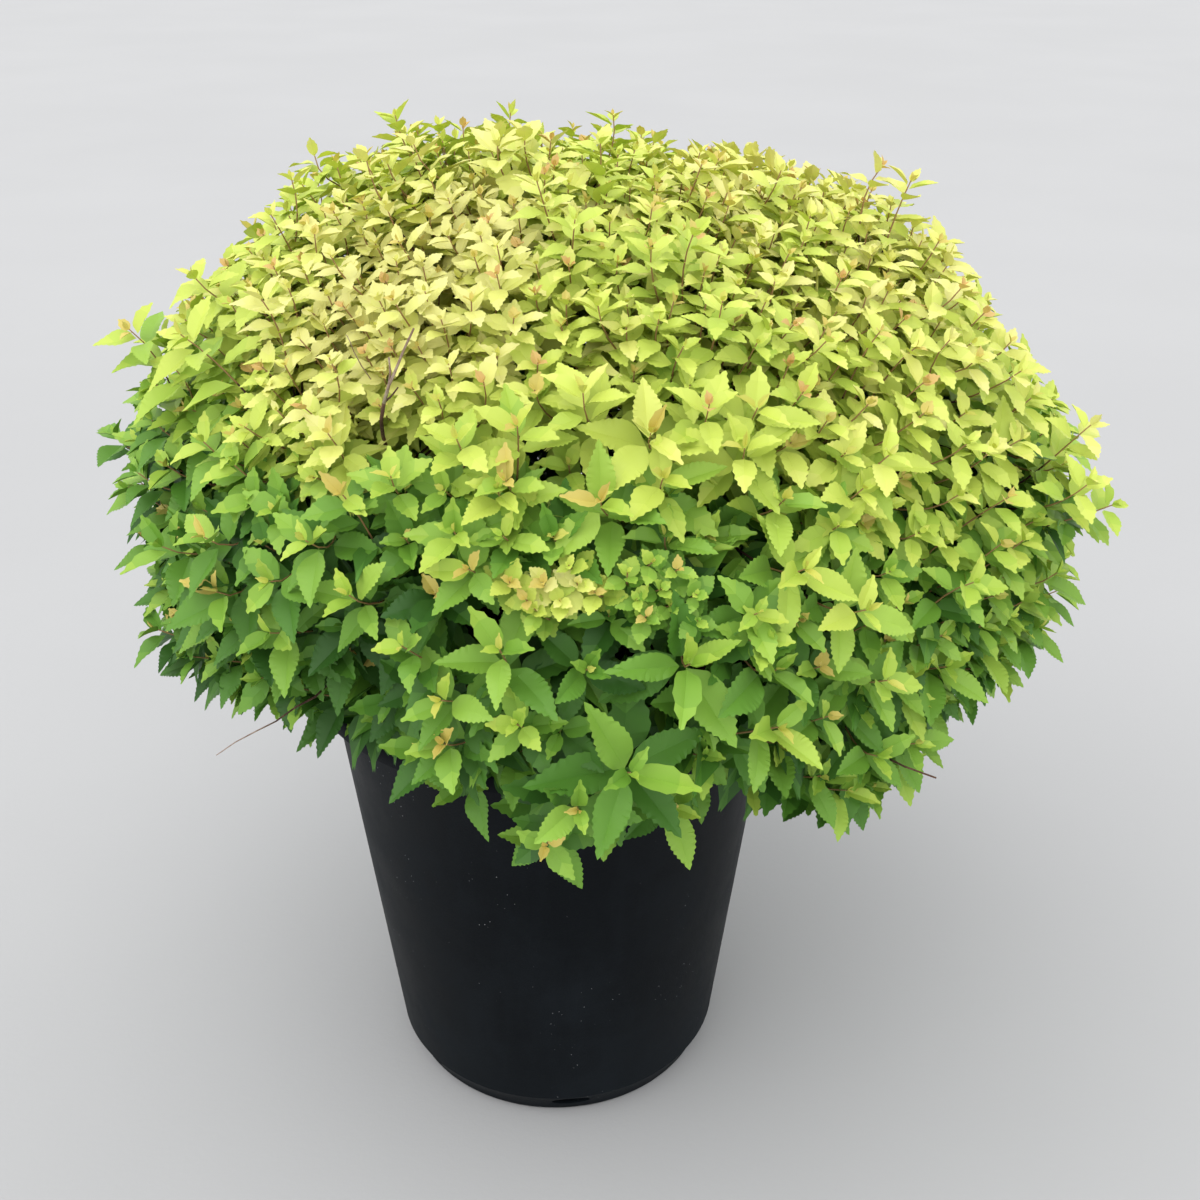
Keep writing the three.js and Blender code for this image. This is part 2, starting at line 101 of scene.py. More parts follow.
# Where the leafy surface stops short of that outline, in the same terms.
TRIMS = [
    (-124, -25, 18, -0.21), (-26, -9, 14, -0.2), (-116, -34, 32, -0.05), (-129, -6, 12, -0.16),
    (-60, -28, 14, -0.17), (-168, 30, 25, -0.02), (5, 36, 26, -0.055), (-172, 48, 9, 0.01),
    (-20, -8, 8, 0.04), (-89, -17, 8, 0.02), (-154, 20, 9, -0.07), (-158, 33, 5, 0.03),
    (-176, 62, 8, -0.04), (-101, -9, 7, -0.03), (-23, 21, 6, -0.03), (-45, 0, 9, -0.06),
    (-65, -8, 7, -0.08), (-14, 47, 8, -0.04), (-22, 31, 6, 0.03), (-169, 31, 5, 0.03), (-141, -5, 6, 0.03),
    (-62, -17, 9, -0.06), (-155, 12, 9, -0.04), (-157, 24, 6, -0.05), (-12, 40, 8, 0.02),
    (-146, 1, 8, -0.04), (-171, 44, 7, -0.03), (-178, 77, 8, -0.04), (150, 80, 7, -0.03),
    (-119, 5, 7, -0.07), (-113, -3, 5, 0.03), (-82, -16, 6, -0.05),
]
# Each ring of masses: name, count, elevation, first azimuth, height of the fork on the stem.
RINGS = [
    ("top", 1, 90, 0, 48 * MM),
    ("upper", 5, 33, -64, 40 * MM),
    ("lower", 7, -12, -90, 22 * MM),
]
INNER_SHARE = 0.4
STEM_LEAN = 0.1
UP = np.array((0.0, 0.0, 1.0))


# ---- Shared tools: numbers -----------------------------------------------------------------------
def unit(vectors):
    """Vectors of the same ways and of length 1."""
    return vectors / np.linalg.norm(vectors, axis=-1, keepdims=True)


def mix(start, end, share):
    """Start at share 0, end at share 1, and evenly between."""
    return start + (end - start) * share


def smooth(value, low, high):
    """0 below low, 1 above high, and a soft step between."""
    share = np.clip((value - low) / (high - low), 0, 1)
    return share * share * (3 - 2 * share)


def dots(ones, others):
    """The dot product of each pair of vectors."""
    return np.sum(ones * others, axis=-1, keepdims=True)


def heading(azimuth, elevation):
    """The unit vector of a way given in degrees."""
    turn, lift = math.radians(azimuth), math.radians(elevation)
    return np.array((math.cos(lift) * math.cos(turn), math.cos(lift) * math.sin(turn), math.sin(lift)))


def nearness(ways, azimuth, elevation, spread):
    """1 on a heading, falling to nothing past its spread in degrees."""
    apart = np.degrees(np.arccos(np.clip(ways @ heading(azimuth, elevation), -1, 1)))
    return np.exp(-((apart / spread) ** 2))


def swelling(ways, spots):
    """The changes of reach that all spots together make at each way."""
    return sum(change * nearness(ways, *spot) for *spot, change in spots)


def crown_reach(ways):
    """How far the crown reaches from its centre along each way."""
    x, y, z = ways[..., 0], ways[..., 1], ways[..., 2]
    flat = np.hypot(
        x / np.where(x > 0, CROWN_RIGHT, CROWN_LEFT),
        y / np.where(y > 0, CROWN_BACK, CROWN_FRONT),
    )
    tall = np.abs(z) / np.where(z > 0, CROWN_RISE, CROWN_DROP)
    dome = (flat**CROWN_SQUARENESS + tall**CROWN_SQUARENESS) ** (-1 / CROWN_SQUARENESS)
    return dome * (1 + swelling(ways, TUFTS))


def on_crown(ways, share):
    """Points at a share of the way out to the leafy surface."""
    trimmed = 1 + swelling(ways, TRIMS)
    return CROWN_CENTRE + ways * (crown_reach(ways) * trimmed * share)[..., None]


def clear_of_pot(points, margin):
    """Whether points stand outside the pot's wall, or above its rim."""
    height = points[..., 2]
    share = np.clip((height - FOOT_HEIGHT) / (LEDGE - FOOT_HEIGHT), 0, 1)
    wall = np.where(height > LEDGE - margin, RIM_RADIUS, mix(FOOT_TOP_RADIUS, SHOULDER_RADIUS, share))
    outside = np.hypot(points[..., 0], points[..., 1]) > wall + margin
    return outside | (height > POT_TOP + margin)


def bezier(controls, share):
    """Points of cubic curves: controls is (curves, 4, 3) and share is a number or one for each."""
    t = np.broadcast_to(np.asarray(share, float), controls.shape[:1])[:, None]
    a, b, c, d = (controls[:, i] for i in range(4))
    return (1 - t) ** 3 * a + 3 * (1 - t) ** 2 * t * b + 3 * (1 - t) * t**2 * c + t**3 * d


def bezier_slope(controls, share):
    """Which way the same curves run there, with their speed."""
    t = np.broadcast_to(np.asarray(share, float), controls.shape[:1])[:, None]
    a, b, c, d = (controls[:, i] for i in range(4))
    return 3 * ((1 - t) ** 2 * (b - a) + 2 * (1 - t) * t * (c - b) + t**2 * (d - c))


# ---- Shared tools: meshes ------------------------------------------------------------------------
def mesh_piece(name, points, faces, materials, shades=None):
    """One object from arrays: faces is a list of index arrays with one row for each face."""
    mesh = bpy.data.meshes.new(name)
    corners = np.concatenate([part.reshape(-1) for part in faces])
    sides = np.concatenate([np.full(len(part), part.shape[1]) for part in faces])
    mesh.vertices.add(len(points))
    mesh.vertices.foreach_set("co", np.ascontiguousarray(points, np.float32).reshape(-1))
    mesh.loops.add(len(corners))
    mesh.loops.foreach_set("vertex_index", corners.astype(np.int32))
    mesh.polygons.add(len(sides))
    mesh.polygons.foreach_set("loop_start", (np.cumsum(sides) - sides).astype(np.int32))
    if shades is not None:
        mesh.polygons.foreach_set("material_index", shades.astype(np.int32))
    for material in materials:
        mesh.materials.append(material)
    mesh.update(calc_edges=True)
    mesh.validate()
    piece = bpy.data.objects.new(name, mesh)
    bpy.context.scene.collection.objects.link(piece)
    return piece


def smooth_by_angle(piece, degrees):
    """Smooth shading, with edges kept where faces meet at more than an angle."""
    only(piece)
    bpy.ops.object.shade_smooth_by_angle(angle=math.radians(degrees))


def tubes(lines, radii, sides):
    """Closed round tubes along many lines at once: lines is (tubes, rings, 3), radii is (tubes, rings)."""
    count, rings = radii.shape
    along = unit(np.gradient(lines, axis=1))
    least = np.eye(3)[np.argmin(np.abs(along.mean(axis=1)), axis=1)][:, None, :]
    across = unit(np.cross(along, least))
    beside = np.cross(along, across)
    turns = np.arange(sides) * 2 * math.pi / sides
    spokes = np.cos(turns)[:, None] * across[:, :, None, :] + np.sin(turns)[:, None] * beside[:, :, None, :]
    walls = lines[:, :, None, :] + spokes * radii[:, :, None, None]
    ends = lines[:, [0, -1]]
    points = np.concatenate([walls.reshape(count, -1, 3), ends], axis=1)
    here = np.arange(sides)
    after = (here + 1) % sides
    ring = (np.arange(rings - 1) * sides)[:, None]
    quads = np.stack([ring + here, ring + after, ring + sides + after, ring + sides + here], axis=-1)
    last = (rings - 1) * sides
    foot = np.stack([after, here, np.full(sides, rings * sides)], axis=-1)
    tip = np.stack([last + here, last + after, np.full(sides, rings * sides + 1)], axis=-1)
    shift = (np.arange(count) * points.shape[1])[:, None, None]
    faces = [
        (part.reshape(-1, part.shape[-1])[None] + shift).reshape(-1, part.shape[-1])
        for part in (quads, foot, tip)
    ]
    return points.reshape(-1, 3), faces


def tube_piece(name, lines, radii, sides, material):
    """Many round tubes joined in one piece, all with the same radii from foot to tip."""
    points, faces = tubes(lines, np.broadcast_to(radii, lines.shape[:2]), sides)
    return mesh_piece(name, points, faces, [material])


def only(piece):
    """Selects one object and nothing else."""
    bpy.ops.object.select_all(action="DESELECT")
    piece.select_set(True)
    bpy.context.view_layer.objects.active = piece


def applied(piece, kind, **settings):
    """Adds a modifier with these settings and applies it."""
    only(piece)
    modifier = piece.modifiers.new(kind.title(), kind)
    for name, value in settings.items():
        setattr(modifier, name, value)
    bpy.ops.object.modifier_apply(modifier=modifier.name)


def turned(name, rings, sides, lean=0.0, foot=0.0):
    """A ring of edges at the first radius and height, extruded and resized through the others."""
    bpy.ops.object.select_all(action="DESELECT")
    radius, height = rings[0]
    bpy.ops.mesh.primitive_circle_add(
        vertices=sides, radius=radius, location=(lean * (height - foot), 0, height)
    )
    piece = bpy.context.object
    piece.name = piece.data.name = name
    bpy.ops.object.transform_apply(location=True)
    bpy.ops.object.mode_set(mode="EDIT")
    bpy.ops.mesh.select_all(action="SELECT")
    for new_radius, new_height in rings[1:]:
        step = (lean * (new_height - height), 0, new_height - height)
        bpy.ops.mesh.extrude_region_move(TRANSFORM_OT_translate={"value": step})
        grow = new_radius / radius
        centre = (lean * (new_height - foot), 0, new_height)
        bpy.ops.transform.resize(value=(grow, grow, 1), center_override=centre)
        radius, height = new_radius, new_height
    return piece


def close_ends(piece):
    """Fills both open rings of a turned piece, turns its faces outwards and leaves edit mode."""
    bpy.ops.mesh.select_all(action="DESELECT")
    bpy.ops.mesh.select_mode(type="EDGE")
    bpy.ops.mesh.select_non_manifold()
    bpy.ops.mesh.edge_face_add()
    bpy.ops.mesh.select_all(action="SELECT")
    bpy.ops.mesh.normals_make_consistent(inside=False)
    bpy.ops.object.mode_set(mode="OBJECT")
    return piece


def finished(piece, materials, slot, *nodes):
    """Gives a piece its materials and lets it stand for CAD nodes."""
    if materials:
        piece.data.materials.clear()
        for material in materials:
            piece.data.materials.append(material)
    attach(piece, BODY)
    if nodes:
        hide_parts(*nodes)


# ---- Shared tools: shaders -----------------------------------------------------------------------
class Level:
    """A number that varies over a surface. Arithmetic on it adds Math nodes."""

    def __init__(self, finish, socket):
        self.finish = finish
        self.socket = socket

    def maths(self, operation, *others):
        """A Math node with this level in its first socket."""
        return self.finish.node("ShaderNodeMath", {"operation": operation}, enumerate((self, *others)))

    def __add__(self, other):
        return self.maths("ADD", other)

    __radd__ = __add__

    def __mul__(self, other):
        return self.maths("MULTIPLY", other)

    __rmul__ = __mul__

    def __rsub__(self, other):
        return self.finish.node("ShaderNodeMath", {"operation": "SUBTRACT"}, enumerate((other, self)))

    def between(self, low, high):
        """A soft step: 0 below low and 1 above high."""
        settings = {"interpolation_type": "SMOOTHSTEP"}
        sockets = {"Value": self, "From Min": low, "From Max": high}
        return self.finish.node("ShaderNodeMapRange", settings, sockets.items())


class Finish:
    """A material under construction, with one Principled shader."""

    def __init__(self, name):
        self.material = bpy.data.materials.new(name)
        self.material.use_nodes = True
        self.tree = self.material.node_tree
        self.shader = self.tree.nodes["Principled BSDF"]

    def node(self, kind, settings=None, sockets=(), output=0):
        """Adds a node: its settings first, then the values or links of its sockets."""
        added = self.tree.nodes.new(kind)
        for name, value in (settings or {}).items():
            setattr(added, name, value)
        for name, value in sockets:
            self.feed(added.inputs[name], value)
        return Level(self, added.outputs[output])

    def feed(self, socket, value):
        """Links a level to a socket, or sets the socket to a plain value."""
        if isinstance(value, Level):
            self.tree.links.new(value.socket, socket)
        else:
            socket.default_value = value

    def place(self, scale=(1, 1, 1)):
        """Object coordinates in metres, scaled along each axis."""
        where = self.node("ShaderNodeTexCoord", output="Object")
        return self.node("ShaderNodeMapping", sockets={"Vector": where, "Scale": scale}.items())

    def noise(self, per_metre, detail=3.0, roughness=0.5, scale=(1, 1, 1)):
        """Soft cloudy patches, so many to the metre."""
        sockets = {
            "Vector": self.place(scale),
            "Scale": per_metre,
            "Detail": detail,
            "Roughness": roughness,
        }
        return self.node("ShaderNodeTexNoise", sockets=sockets.items())

    def cells(self, per_metre, scale=(1, 1, 1)):
        """The distance to the middle of the nearest of many scattered cells."""
        sockets = {"Vector": self.place(scale), "Scale": per_metre}
        return self.node("ShaderNodeTexVoronoi", sockets=sockets.items(), output="Distance")

    def blend(self, low, high, share):
        """Two colours mixed by a level."""
        sockets = {0: share, 6: low, 7: high}
        return self.node("ShaderNodeMix", {"data_type": "RGBA"}, sockets.items(), 2)

    def relief(self, height, distance, strength):
        """Bumps as high as a distance in metres, where the height is 1."""
        sockets = {"Height": height, "Distance": distance, "Strength": strength}
        self.feed(self.shader.inputs["Normal"], self.node("ShaderNodeBump", sockets=sockets.items()))

    def set(self, **values):
        """Sets or links sockets of the Principled shader, with _ for each space in their names."""
        for name, value in values.items():
            self.feed(self.shader.inputs[name.replace("_", " ")], value)


def colour(value):
    """A plain colour property as four numbers."""
    return (*value[:3], 1.0)


def shade_of(red, green, blue):
    """A colour given as 0 to 255 on screen, as linear light."""
    return tuple(
        c / 12.92 if c <= 0.04045 else ((c + 0.055) / 1.055) ** 2.4
        for c in (red / 255, green / 255, blue / 255)
    )


# ---- Materials -----------------------------------------------------------------------------------
# How patterns are drawn out: less than 1 makes them longer along that axis.
DOWN_THE_WALL = (1, 1, 0.12)
LONG_CHIPS = (0.25, 1, 1)
ALONG_STEMS = (1, 1, 0.3)
ALONG_TWIGS = (1, 1, 0.4)
SPLASH_HEIGHT = 0.09


def pot_plastic(settings):
    """Black moulded plastic: dusty bloom in soft patches, pale specks, fine scuffs."""
    finish = Finish("pot_plastic")
    bloom = finish.noise(14, 5, 0.62).between(0.38, 0.72)
    streaks = finish.noise(60, 3, 0.6, DOWN_THE_WALL).between(0.45, 0.75)
    specks = 1 - finish.cells(260).between(0.05, 0.08)
    rare = finish.noise(30, 2).between(0.54, 0.64)
    height = finish.node("ShaderNodeSeparateXYZ", sockets={0: finish.place()}.items(), output=2)
    low = 1 - height.between(0.0, SPLASH_HEIGHT)
    dust = bloom * 0.5 + streaks * 0.22 + low * 0.35
    base = finish.blend(colour(settings.plastic), colour(settings.dust), dust * settings.dustiness)
    base = finish.blend(base, colour(settings.speck), specks * rare)
    grain = finish.noise(900, 2, 0.6)
    waves = finish.noise(22, 2)
    finish.set(Base_Color=base, Roughness=0.42 + dust * 0.22 + grain * 0.08)
    finish.set(Specular_IOR_Level=0.07)
    finish.relief(grain * 0.12 + waves * 0.9 + specks * rare * 0.3, 0.0012, 0.5)
    return finish.material


def bark_mix(settings):
    """Dark shredded bark with paler fibres and a little damp sheen."""
    finish = Finish("bark_mix")
    clumps = finish.noise(70, 6, 0.65).between(0.35, 0.7)
    fibres = finish.noise(260, 4, 0.7, LONG_CHIPS).between(0.5, 0.8)
    base = finish.blend(colour(settings.dark_mix), colour(settings.pale_mix), clumps)
    base = finish.blend(base, colour(settings.fibre), fibres * 0.55)
    finish.set(Base_Color=base, Roughness=0.75 + clumps * 0.2)
    finish.relief(clumps + fibres * 0.4, 0.004, 0.8)
    return finish.material


def bark(name, dark, pale, stretch):
    """Thin bark: long fibres and flaking patches."""
    finish = Finish(name)
    fibres = finish.noise(420, 5, 0.7, stretch).between(0.35, 0.7)
    flakes = finish.cells(150, stretch).between(0.2, 0.75)
    patches = finish.noise(45, 3).between(0.35, 0.7)
    base = finish.blend(dark, pale, fibres * 0.6 + patches * 0.35)
    finish.set(Base_Color=base, Roughness=0.7 + flakes * 0.22)
    finish.relief(fibres * 0.6 + flakes * 0.6, 0.0008, 0.9)
    return finish.material


def plain(name, tone, roughness, gloss):
    """One even colour, for what is small and many."""
    finish = Finish(name)
    finish.set(Base_Color=colour(tone), Roughness=roughness, Specular_IOR_Level=gloss)
    return finish.material


def floor_finish(settings):
    """A pale matt floor with a faint drift of tone."""
    finish = Finish("studio_floor")
    drift = finish.noise(1.4, 4, 0.55).between(0.3, 0.75)
    pale = [c * 0.96 for c in settings.floor]
    base = finish.blend(colour(pale), colour(settings.floor), drift)
    finish.set(Base_Color=base, Roughness=0.85 + drift * 0.08)
    finish.relief(finish.noise(240, 2), 0.0006, 0.2)
    return finish.material


# ---- Pot -----------------------------------------------------------------------------------------
class PotSettings(bpy.types.PropertyGroup):
    sides: IntProperty(
        name="Sides", description="Flats round the pot, too many to see", default=144, min=24
    )
    corner: FloatProperty(
        name="Corner", description="Rounding of the pot's moulded edges",
        default=0.6 * MM, unit="LENGTH"
    )
    plastic: FloatVectorProperty(
        name="Plastic", description="Clean plastic", default=(0.0028, 0.0042, 0.0058), subtype="COLOR"
    )
    dust: FloatVectorProperty(
        name="Dust", description="Bloom of dust and lime", default=(0.062, 0.08, 0.096), subtype="COLOR"
    )
    speck: FloatVectorProperty(
        name="Specks", description="Dried splashes", default=(0.35, 0.36, 0.37), subtype="COLOR"
    )
    dustiness: FloatProperty(
        name="Dustiness", description="How dusty the pot is", default=0.12, subtype="FACTOR"
    )


def pot_rings():
    """The wall's profile, from the middle of the underside round the rim to the floor inside."""
    inner_base = BASE_RADIUS - FOOT_STEP - POT_WALL
    rim_inner = RIM_RADIUS - POT_WALL
    turns = (0, math.pi / 8, math.pi / 4, 3 * math.pi / 8, math.pi / 2)
    rounding = [
        (BASE_RADIUS - BASE_ROUND * (1 - math.sin(turn)), BASE_ROUND * (1 - math.cos(turn)))
        for turn in turns
    ]
    return [
        (BASE_RADIUS * 0.5, 0),
        (BASE_RADIUS * 0.86, 0),
        *rounding,
        (FOOT_TOP_RADIUS - FOOT_STEP, FOOT_HEIGHT - 1.6 * MM),
        (FOOT_TOP_RADIUS, FOOT_HEIGHT),
        (mix(FOOT_TOP_RADIUS, SHOULDER_RADIUS, 0.33), mix(FOOT_HEIGHT, LEDGE, 0.33)),
        (mix(FOOT_TOP_RADIUS, SHOULDER_RADIUS, 0.67), mix(FOOT_HEIGHT, LEDGE, 0.67)),
        (SHOULDER_RADIUS, LEDGE),
        (RIM_RADIUS, LEDGE),
        (RIM_RADIUS, POT_TOP - 2.4 * MM),
        (RIM_RADIUS - 0.9 * MM, POT_TOP - 0.6 * MM),
        (RIM_RADIUS - 1.6 * MM, POT_TOP),
        (rim_inner, POT_TOP),
        (rim_inner - 0.6 * MM, LEDGE + POT_WALL),
        (SHOULDER_RADIUS - POT_WALL, LEDGE + POT_WALL),
        (mix(inner_base, SHOULDER_RADIUS - POT_WALL, 0.5), mix(BASE_THICKNESS, LEDGE, 0.5)),
        (inner_base, BASE_THICKNESS),
        (BASE_RADIUS * 0.5, BASE_THICKNESS),
    ]


def cut_drains(pot):
    """Oval drain holes low in the wall, cut by flattened cylinders."""
    for index in range(DRAIN_COUNT):
        turn = math.radians(DRAIN_TURN + 360 / DRAIN_COUNT * index)
        height = DRAIN_FLOOR + DRAIN_HEIGHT / 2
        bpy.ops.object.select_all(action="DESELECT")
        bpy.ops.mesh.primitive_cylinder_add(
            vertices=32,
            radius=DRAIN_WIDTH / 2,
            depth=DRAIN_REACH,
            location=(math.cos(turn) * BASE_RADIUS, math.sin(turn) * BASE_RADIUS, height),
            rotation=(math.pi / 2, 0, turn + math.pi / 2),
        )
        cutter = bpy.context.object
        cutter.scale = (1, DRAIN_HEIGHT / DRAIN_WIDTH, 1)
        bpy.ops.object.transform_apply(location=True, rotation=True, scale=True)
        applied(pot, "BOOLEAN", operation="DIFFERENCE", object=cutter, solver="EXACT")
        bpy.data.objects.remove(cutter)


class SPIREA_OT_pot(bpy.types.Operator):
    """Models the tapered nursery pot with its stepped rim, foot and drain holes"""

    bl_idname = "spirea.pot"
    bl_label = "Nursery Pot"

    def execute(self, context):
        settings = context.scene.spirea_pot
        pot = close_ends(turned("nursery_pot", pot_rings(), settings.sides))
        cut_drains(pot)
        sharp = math.radians(40)
        applied(pot, "BEVEL", width=settings.corner, segments=2, limit_method="ANGLE", angle_limit=sharp)
        smooth_by_angle(pot, 32)
        finished(pot, [pot_plastic(settings)], "pot_plastic", "pot")
        return {"FINISHED"}


# ---- Potting mix ---------------------------------------------------------------------------------
class SoilSettings(bpy.types.PropertyGroup):
    roughness: FloatProperty(
        name="Unevenness", description="Height of the surface's lumps", default=3 * MM, unit="LENGTH"
    )
    chips: IntProperty(name="Chips", description="Loose pieces of bark", default=900, min=0)
    chip_length: FloatProperty(
        name="Chip Length", description="Longest pieces of bark", default=17 * MM, unit="LENGTH"
    )
    dark_mix: FloatVectorProperty(
        name="Dark Mix", description="Damp fine mix", default=shade_of(38, 27, 20), subtype="COLOR"
    )
    pale_mix: FloatVectorProperty(
        name="Pale Mix", description="Drier mix", default=shade_of(92, 68, 48), subtype="COLOR"
    )
    fibre: FloatVectorProperty(
        name="Fibre", description="Pale fibres", default=shade_of(134, 104, 74), subtype="COLOR"
    )


def soil_rings():
    """From the middle of the plug's floor, up its side, to the middle of its surface."""
    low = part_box("potting_soil")[0].z
    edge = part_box("potting_soil")[1].x
    surface = SOIL_TOP - 4 * MM
    middle = SOIL_TOP - 2 * MM
    narrow = BASE_RADIUS - FOOT_STEP - POT_WALL - 1 * MM
    shares = np.linspace(0.97, 0.06, 26)
    steps = [(edge * share, mix(surface, middle, 1 - share)) for share in shares]
    return [(narrow * 0.3, low), (narrow, low), (edge, surface - 1 * MM), *steps]


def roughen(piece, height, per_metre, above):
    """Lifts and sinks the surface by layered noise, above a height only."""
    for vertex in piece.data.vertices:
        if vertex.co.z > above:
            vertex.co.z += height * (noise.fractal(vertex.co * per_metre, 1.0, 2.1, 5) * 0.9)


def bark_chips(settings):
    """Flat splinters of bark that lie on the mix: eight-cornered, each with a skewed outline."""
    random = np.random.default_rng(17)
    count = settings.chips
    turn = random.uniform(0, 2 * math.pi, count)
    radius = (SHOULDER_RADIUS - 9 * MM) * np.sqrt(random.uniform(0, 1, count))
    size = np.stack([
        settings.chip_length * random.uniform(0.25, 1, count),
        settings.chip_length * random.uniform(0.1, 0.3, count),
        settings.chip_length * random.uniform(0.05, 0.13, count),
    ], axis=-1) / 2
    signs = np.array([(x, y, z) for z in (-1, 1) for y in (-1, 1) for x in (-1, 1)], float)
    corners = signs * size[:, None] * random.uniform(0.6, 1.1, (count, 8, 3))
    yaw = random.uniform(0, 2 * math.pi, count)
    pitch = random.normal(0, 0.28, count)
    tipped = corners.copy()
    tipped[..., 2] += corners[..., 0] * np.sin(pitch)[:, None]
    points = np.stack([
        tipped[..., 0] * np.cos(yaw)[:, None] - tipped[..., 1] * np.sin(yaw)[:, None],
        tipped[..., 0] * np.sin(yaw)[:, None] + tipped[..., 1] * np.cos(yaw)[:, None],
        tipped[..., 2],
    ], axis=-1)
    lift = SOIL_TOP - 1.5 * MM - 2 * MM * radius / SHOULDER_RADIUS
    points += np.stack([np.cos(turn) * radius, np.sin(turn) * radius, lift], axis=-1)[:, None]
    box = np.array([(0, 2, 3, 1), (4, 5, 7, 6), (0, 1, 5, 4), (2, 6, 7, 3), (0, 4, 6, 2), (1, 3, 7, 5)])
    faces = (box[None] + (np.arange(count) * 8)[:, None, None]).reshape(-1, 4)
    return mesh_piece("bark_chips", points.reshape(-1, 3), [faces], [])


class SPIREA_OT_soil(bpy.types.Operator):
    """Fills the pot with an uneven plug of bark mix and strews chips on it"""

    bl_idname = "spirea.soil"
    bl_label = "Potting Mix"

    def execute(self, context):
        settings = context.scene.spirea_soil
        material = bark_mix(settings)
        soil = close_ends(turned("potting_mix", soil_rings(), 96))
        roughen(soil, settings.roughness, 55, SOIL_TOP - 8 * MM)
        smooth_by_angle(soil, 50)
        finished(soil, [material], "bark_mix", "potting_soil")
        finished(bark_chips(settings), [material], "bark_mix")
        return {"FINISHED"}


# ---- Growth: the rule that limbs, twigs and leaves follow ----------------------------------------
class GrowthSettings(bpy.types.PropertyGroup):
    spacing: FloatProperty(
        name="Tip Spacing", description="Between the tips of shoots", default=18.5 * MM, unit="LENGTH"
    )
    shoot_length: FloatProperty(
        name="Shoot Length", description="Leafy twig beyond its limb", default=88 * MM, unit="LENGTH"
    )
    upturn: FloatProperty(
        name="Upturn", description="How strongly shoots turn up to the light", default=0.75
    )
    leaf_length: FloatProperty(
        name="Leaf Length", description="A full-grown leaf", default=28 * MM, unit="LENGTH"
    )
    leaf_width: FloatProperty(
        name="Leaf Width", description="Share of its length", default=0.45, subtype="FACTOR"
    )
    leaves: IntProperty(name="Leaves", description="On each shoot", default=14, min=3)


# Each patch of the crown that grows otherwise: its azimuth, elevation and spread in degrees, and then
# what it does to the spacing, the leaf size and the tone (up towards cream).
SPACING, SIZE, TONE = range(3)
PATCHES = [
    ("cream cushion", -128, 37, 14, 0.74, 0.62, 0.22),
    ("cream crest", -138, 60, 20, 0.92, 0.9, 0.25),
    ("sunlit crest", -10, 60, 35, 1.0, 1.0, 0.1),
    # The close far crest's lighter tone is painted light, which fills the shade between the leaves on top.
    ("close far crest", 5, 56, 22, 0.84, 0.95, 0.07),
    ("variegated sprig", -91, 20, 3.0, 0.7, 0.6, 0.3),
    ("small round leaves", -80, 18, 4.5, 0.66, 0.55, 0.0),
    ("broad low rosettes", -84, -10, 24, 1.75, 1.12, 0.07),
    ("broad middle leaves", -76, 27, 12, 1.2, 1.15, -0.08),
    ("open front", -100, 12, 28, 1.25, 1.0, -0.15),
    ("green left flank", -120, 12, 22, 1.0, 1.0, -0.15),
    ("shaded far left", -152, 5, 26, 1.0, 1.0, -0.04),
    ("gold right shoulder", -36, 12, 20, 1.0, 0.95, -0.02),
    ("calmer middle", -62, 34, 22, 1.0, 1.0, -0.05),
    ("light low sprigs", -50, -13, 13, 1.3, 1.1, 0.1),
    ("lime right edge", -14, 12, 24, 1.0, 1.0, 0.1),
]
# The rosettes that stand out from the crown's front: azimuth, elevation, leaf size and tone.
ROSETTES = [
    (-83, -3, 1.6, 0.28), (-76, 10, 1.5, 0.34), (-98, 12, 1.3, 0.34), (-65, 0, 1.25, 0.37),
    (-93, -15, 0.85, 0.22), (-96, 3, 0.85, 0.39), (-68, 15, 0.9, 0.37), (-67, 12, 0.85, 0.39),
    (-105, -1, 1.0, 0.3), (-99, 30, 1.0, 0.53), (-86, 29, 1.15, 0.44), (-117, 16, 1.1, 0.37),
    (-104, 25, 0.9, 0.35), (-102, 21, 0.9, 0.35), (-110, 11, 0.9, 0.33), (-123, 21, 1.0, 0.35),
    (-119, 27, 0.85, 0.33), (-113, 30, 0.8, 0.39), (-123, 33, 0.72, 0.82), (-128, 35, 0.6, 0.8),
    (-97, 37, 0.95, 0.55), (-105, 35, 0.95, 0.54), (-88, 41, 1.05, 0.68), (-78, 31, 1.0, 0.5),
    (-67, 33, 1.1, 0.6), (-79, 36, 1.2, 0.7), (-64, 37, 1.05, 0.6), (-62, 19, 1.15, 0.54),
    (-55, 13, 1.1, 0.52), (-51, 3, 1.0, 0.39), (-97, 20, 0.5, 0.56), (-95, 18, 0.45, 0.6),
    (-93, 20, 0.45, 0.8), (-91, 18, 0.42, 0.62), (-89, 20, 0.5, 0.8), (-87, 19, 0.42, 0.58),
    (-94, 17, 0.42, 0.52), (-90, 22, 0.42, 0.56), (-83, 21, 0.4, 0.33), (-82, 18, 0.42, 0.35),
    (-80, 22, 0.42, 0.33), (-79, 19, 0.45, 0.33), (-78, 17, 0.4, 0.31), (-77, 21, 0.42, 0.33),
    (-75, 18, 0.42, 0.33), (-81, 16, 0.42, 0.31), (-75, 15, 0.4, 0.31), (-105, 5, 1.1, 0.32),
    (-89, -8, 1.0, 0.28), (-98, 25, 0.9, 0.35), (-131, 7, 1.15, 0.3), (-137, 11, 1.2, 0.26),
    (-128, 15, 1.0, 0.31), (-139, 17, 1.1, 0.28), (-98, 31, 0.8, 0.41),
]
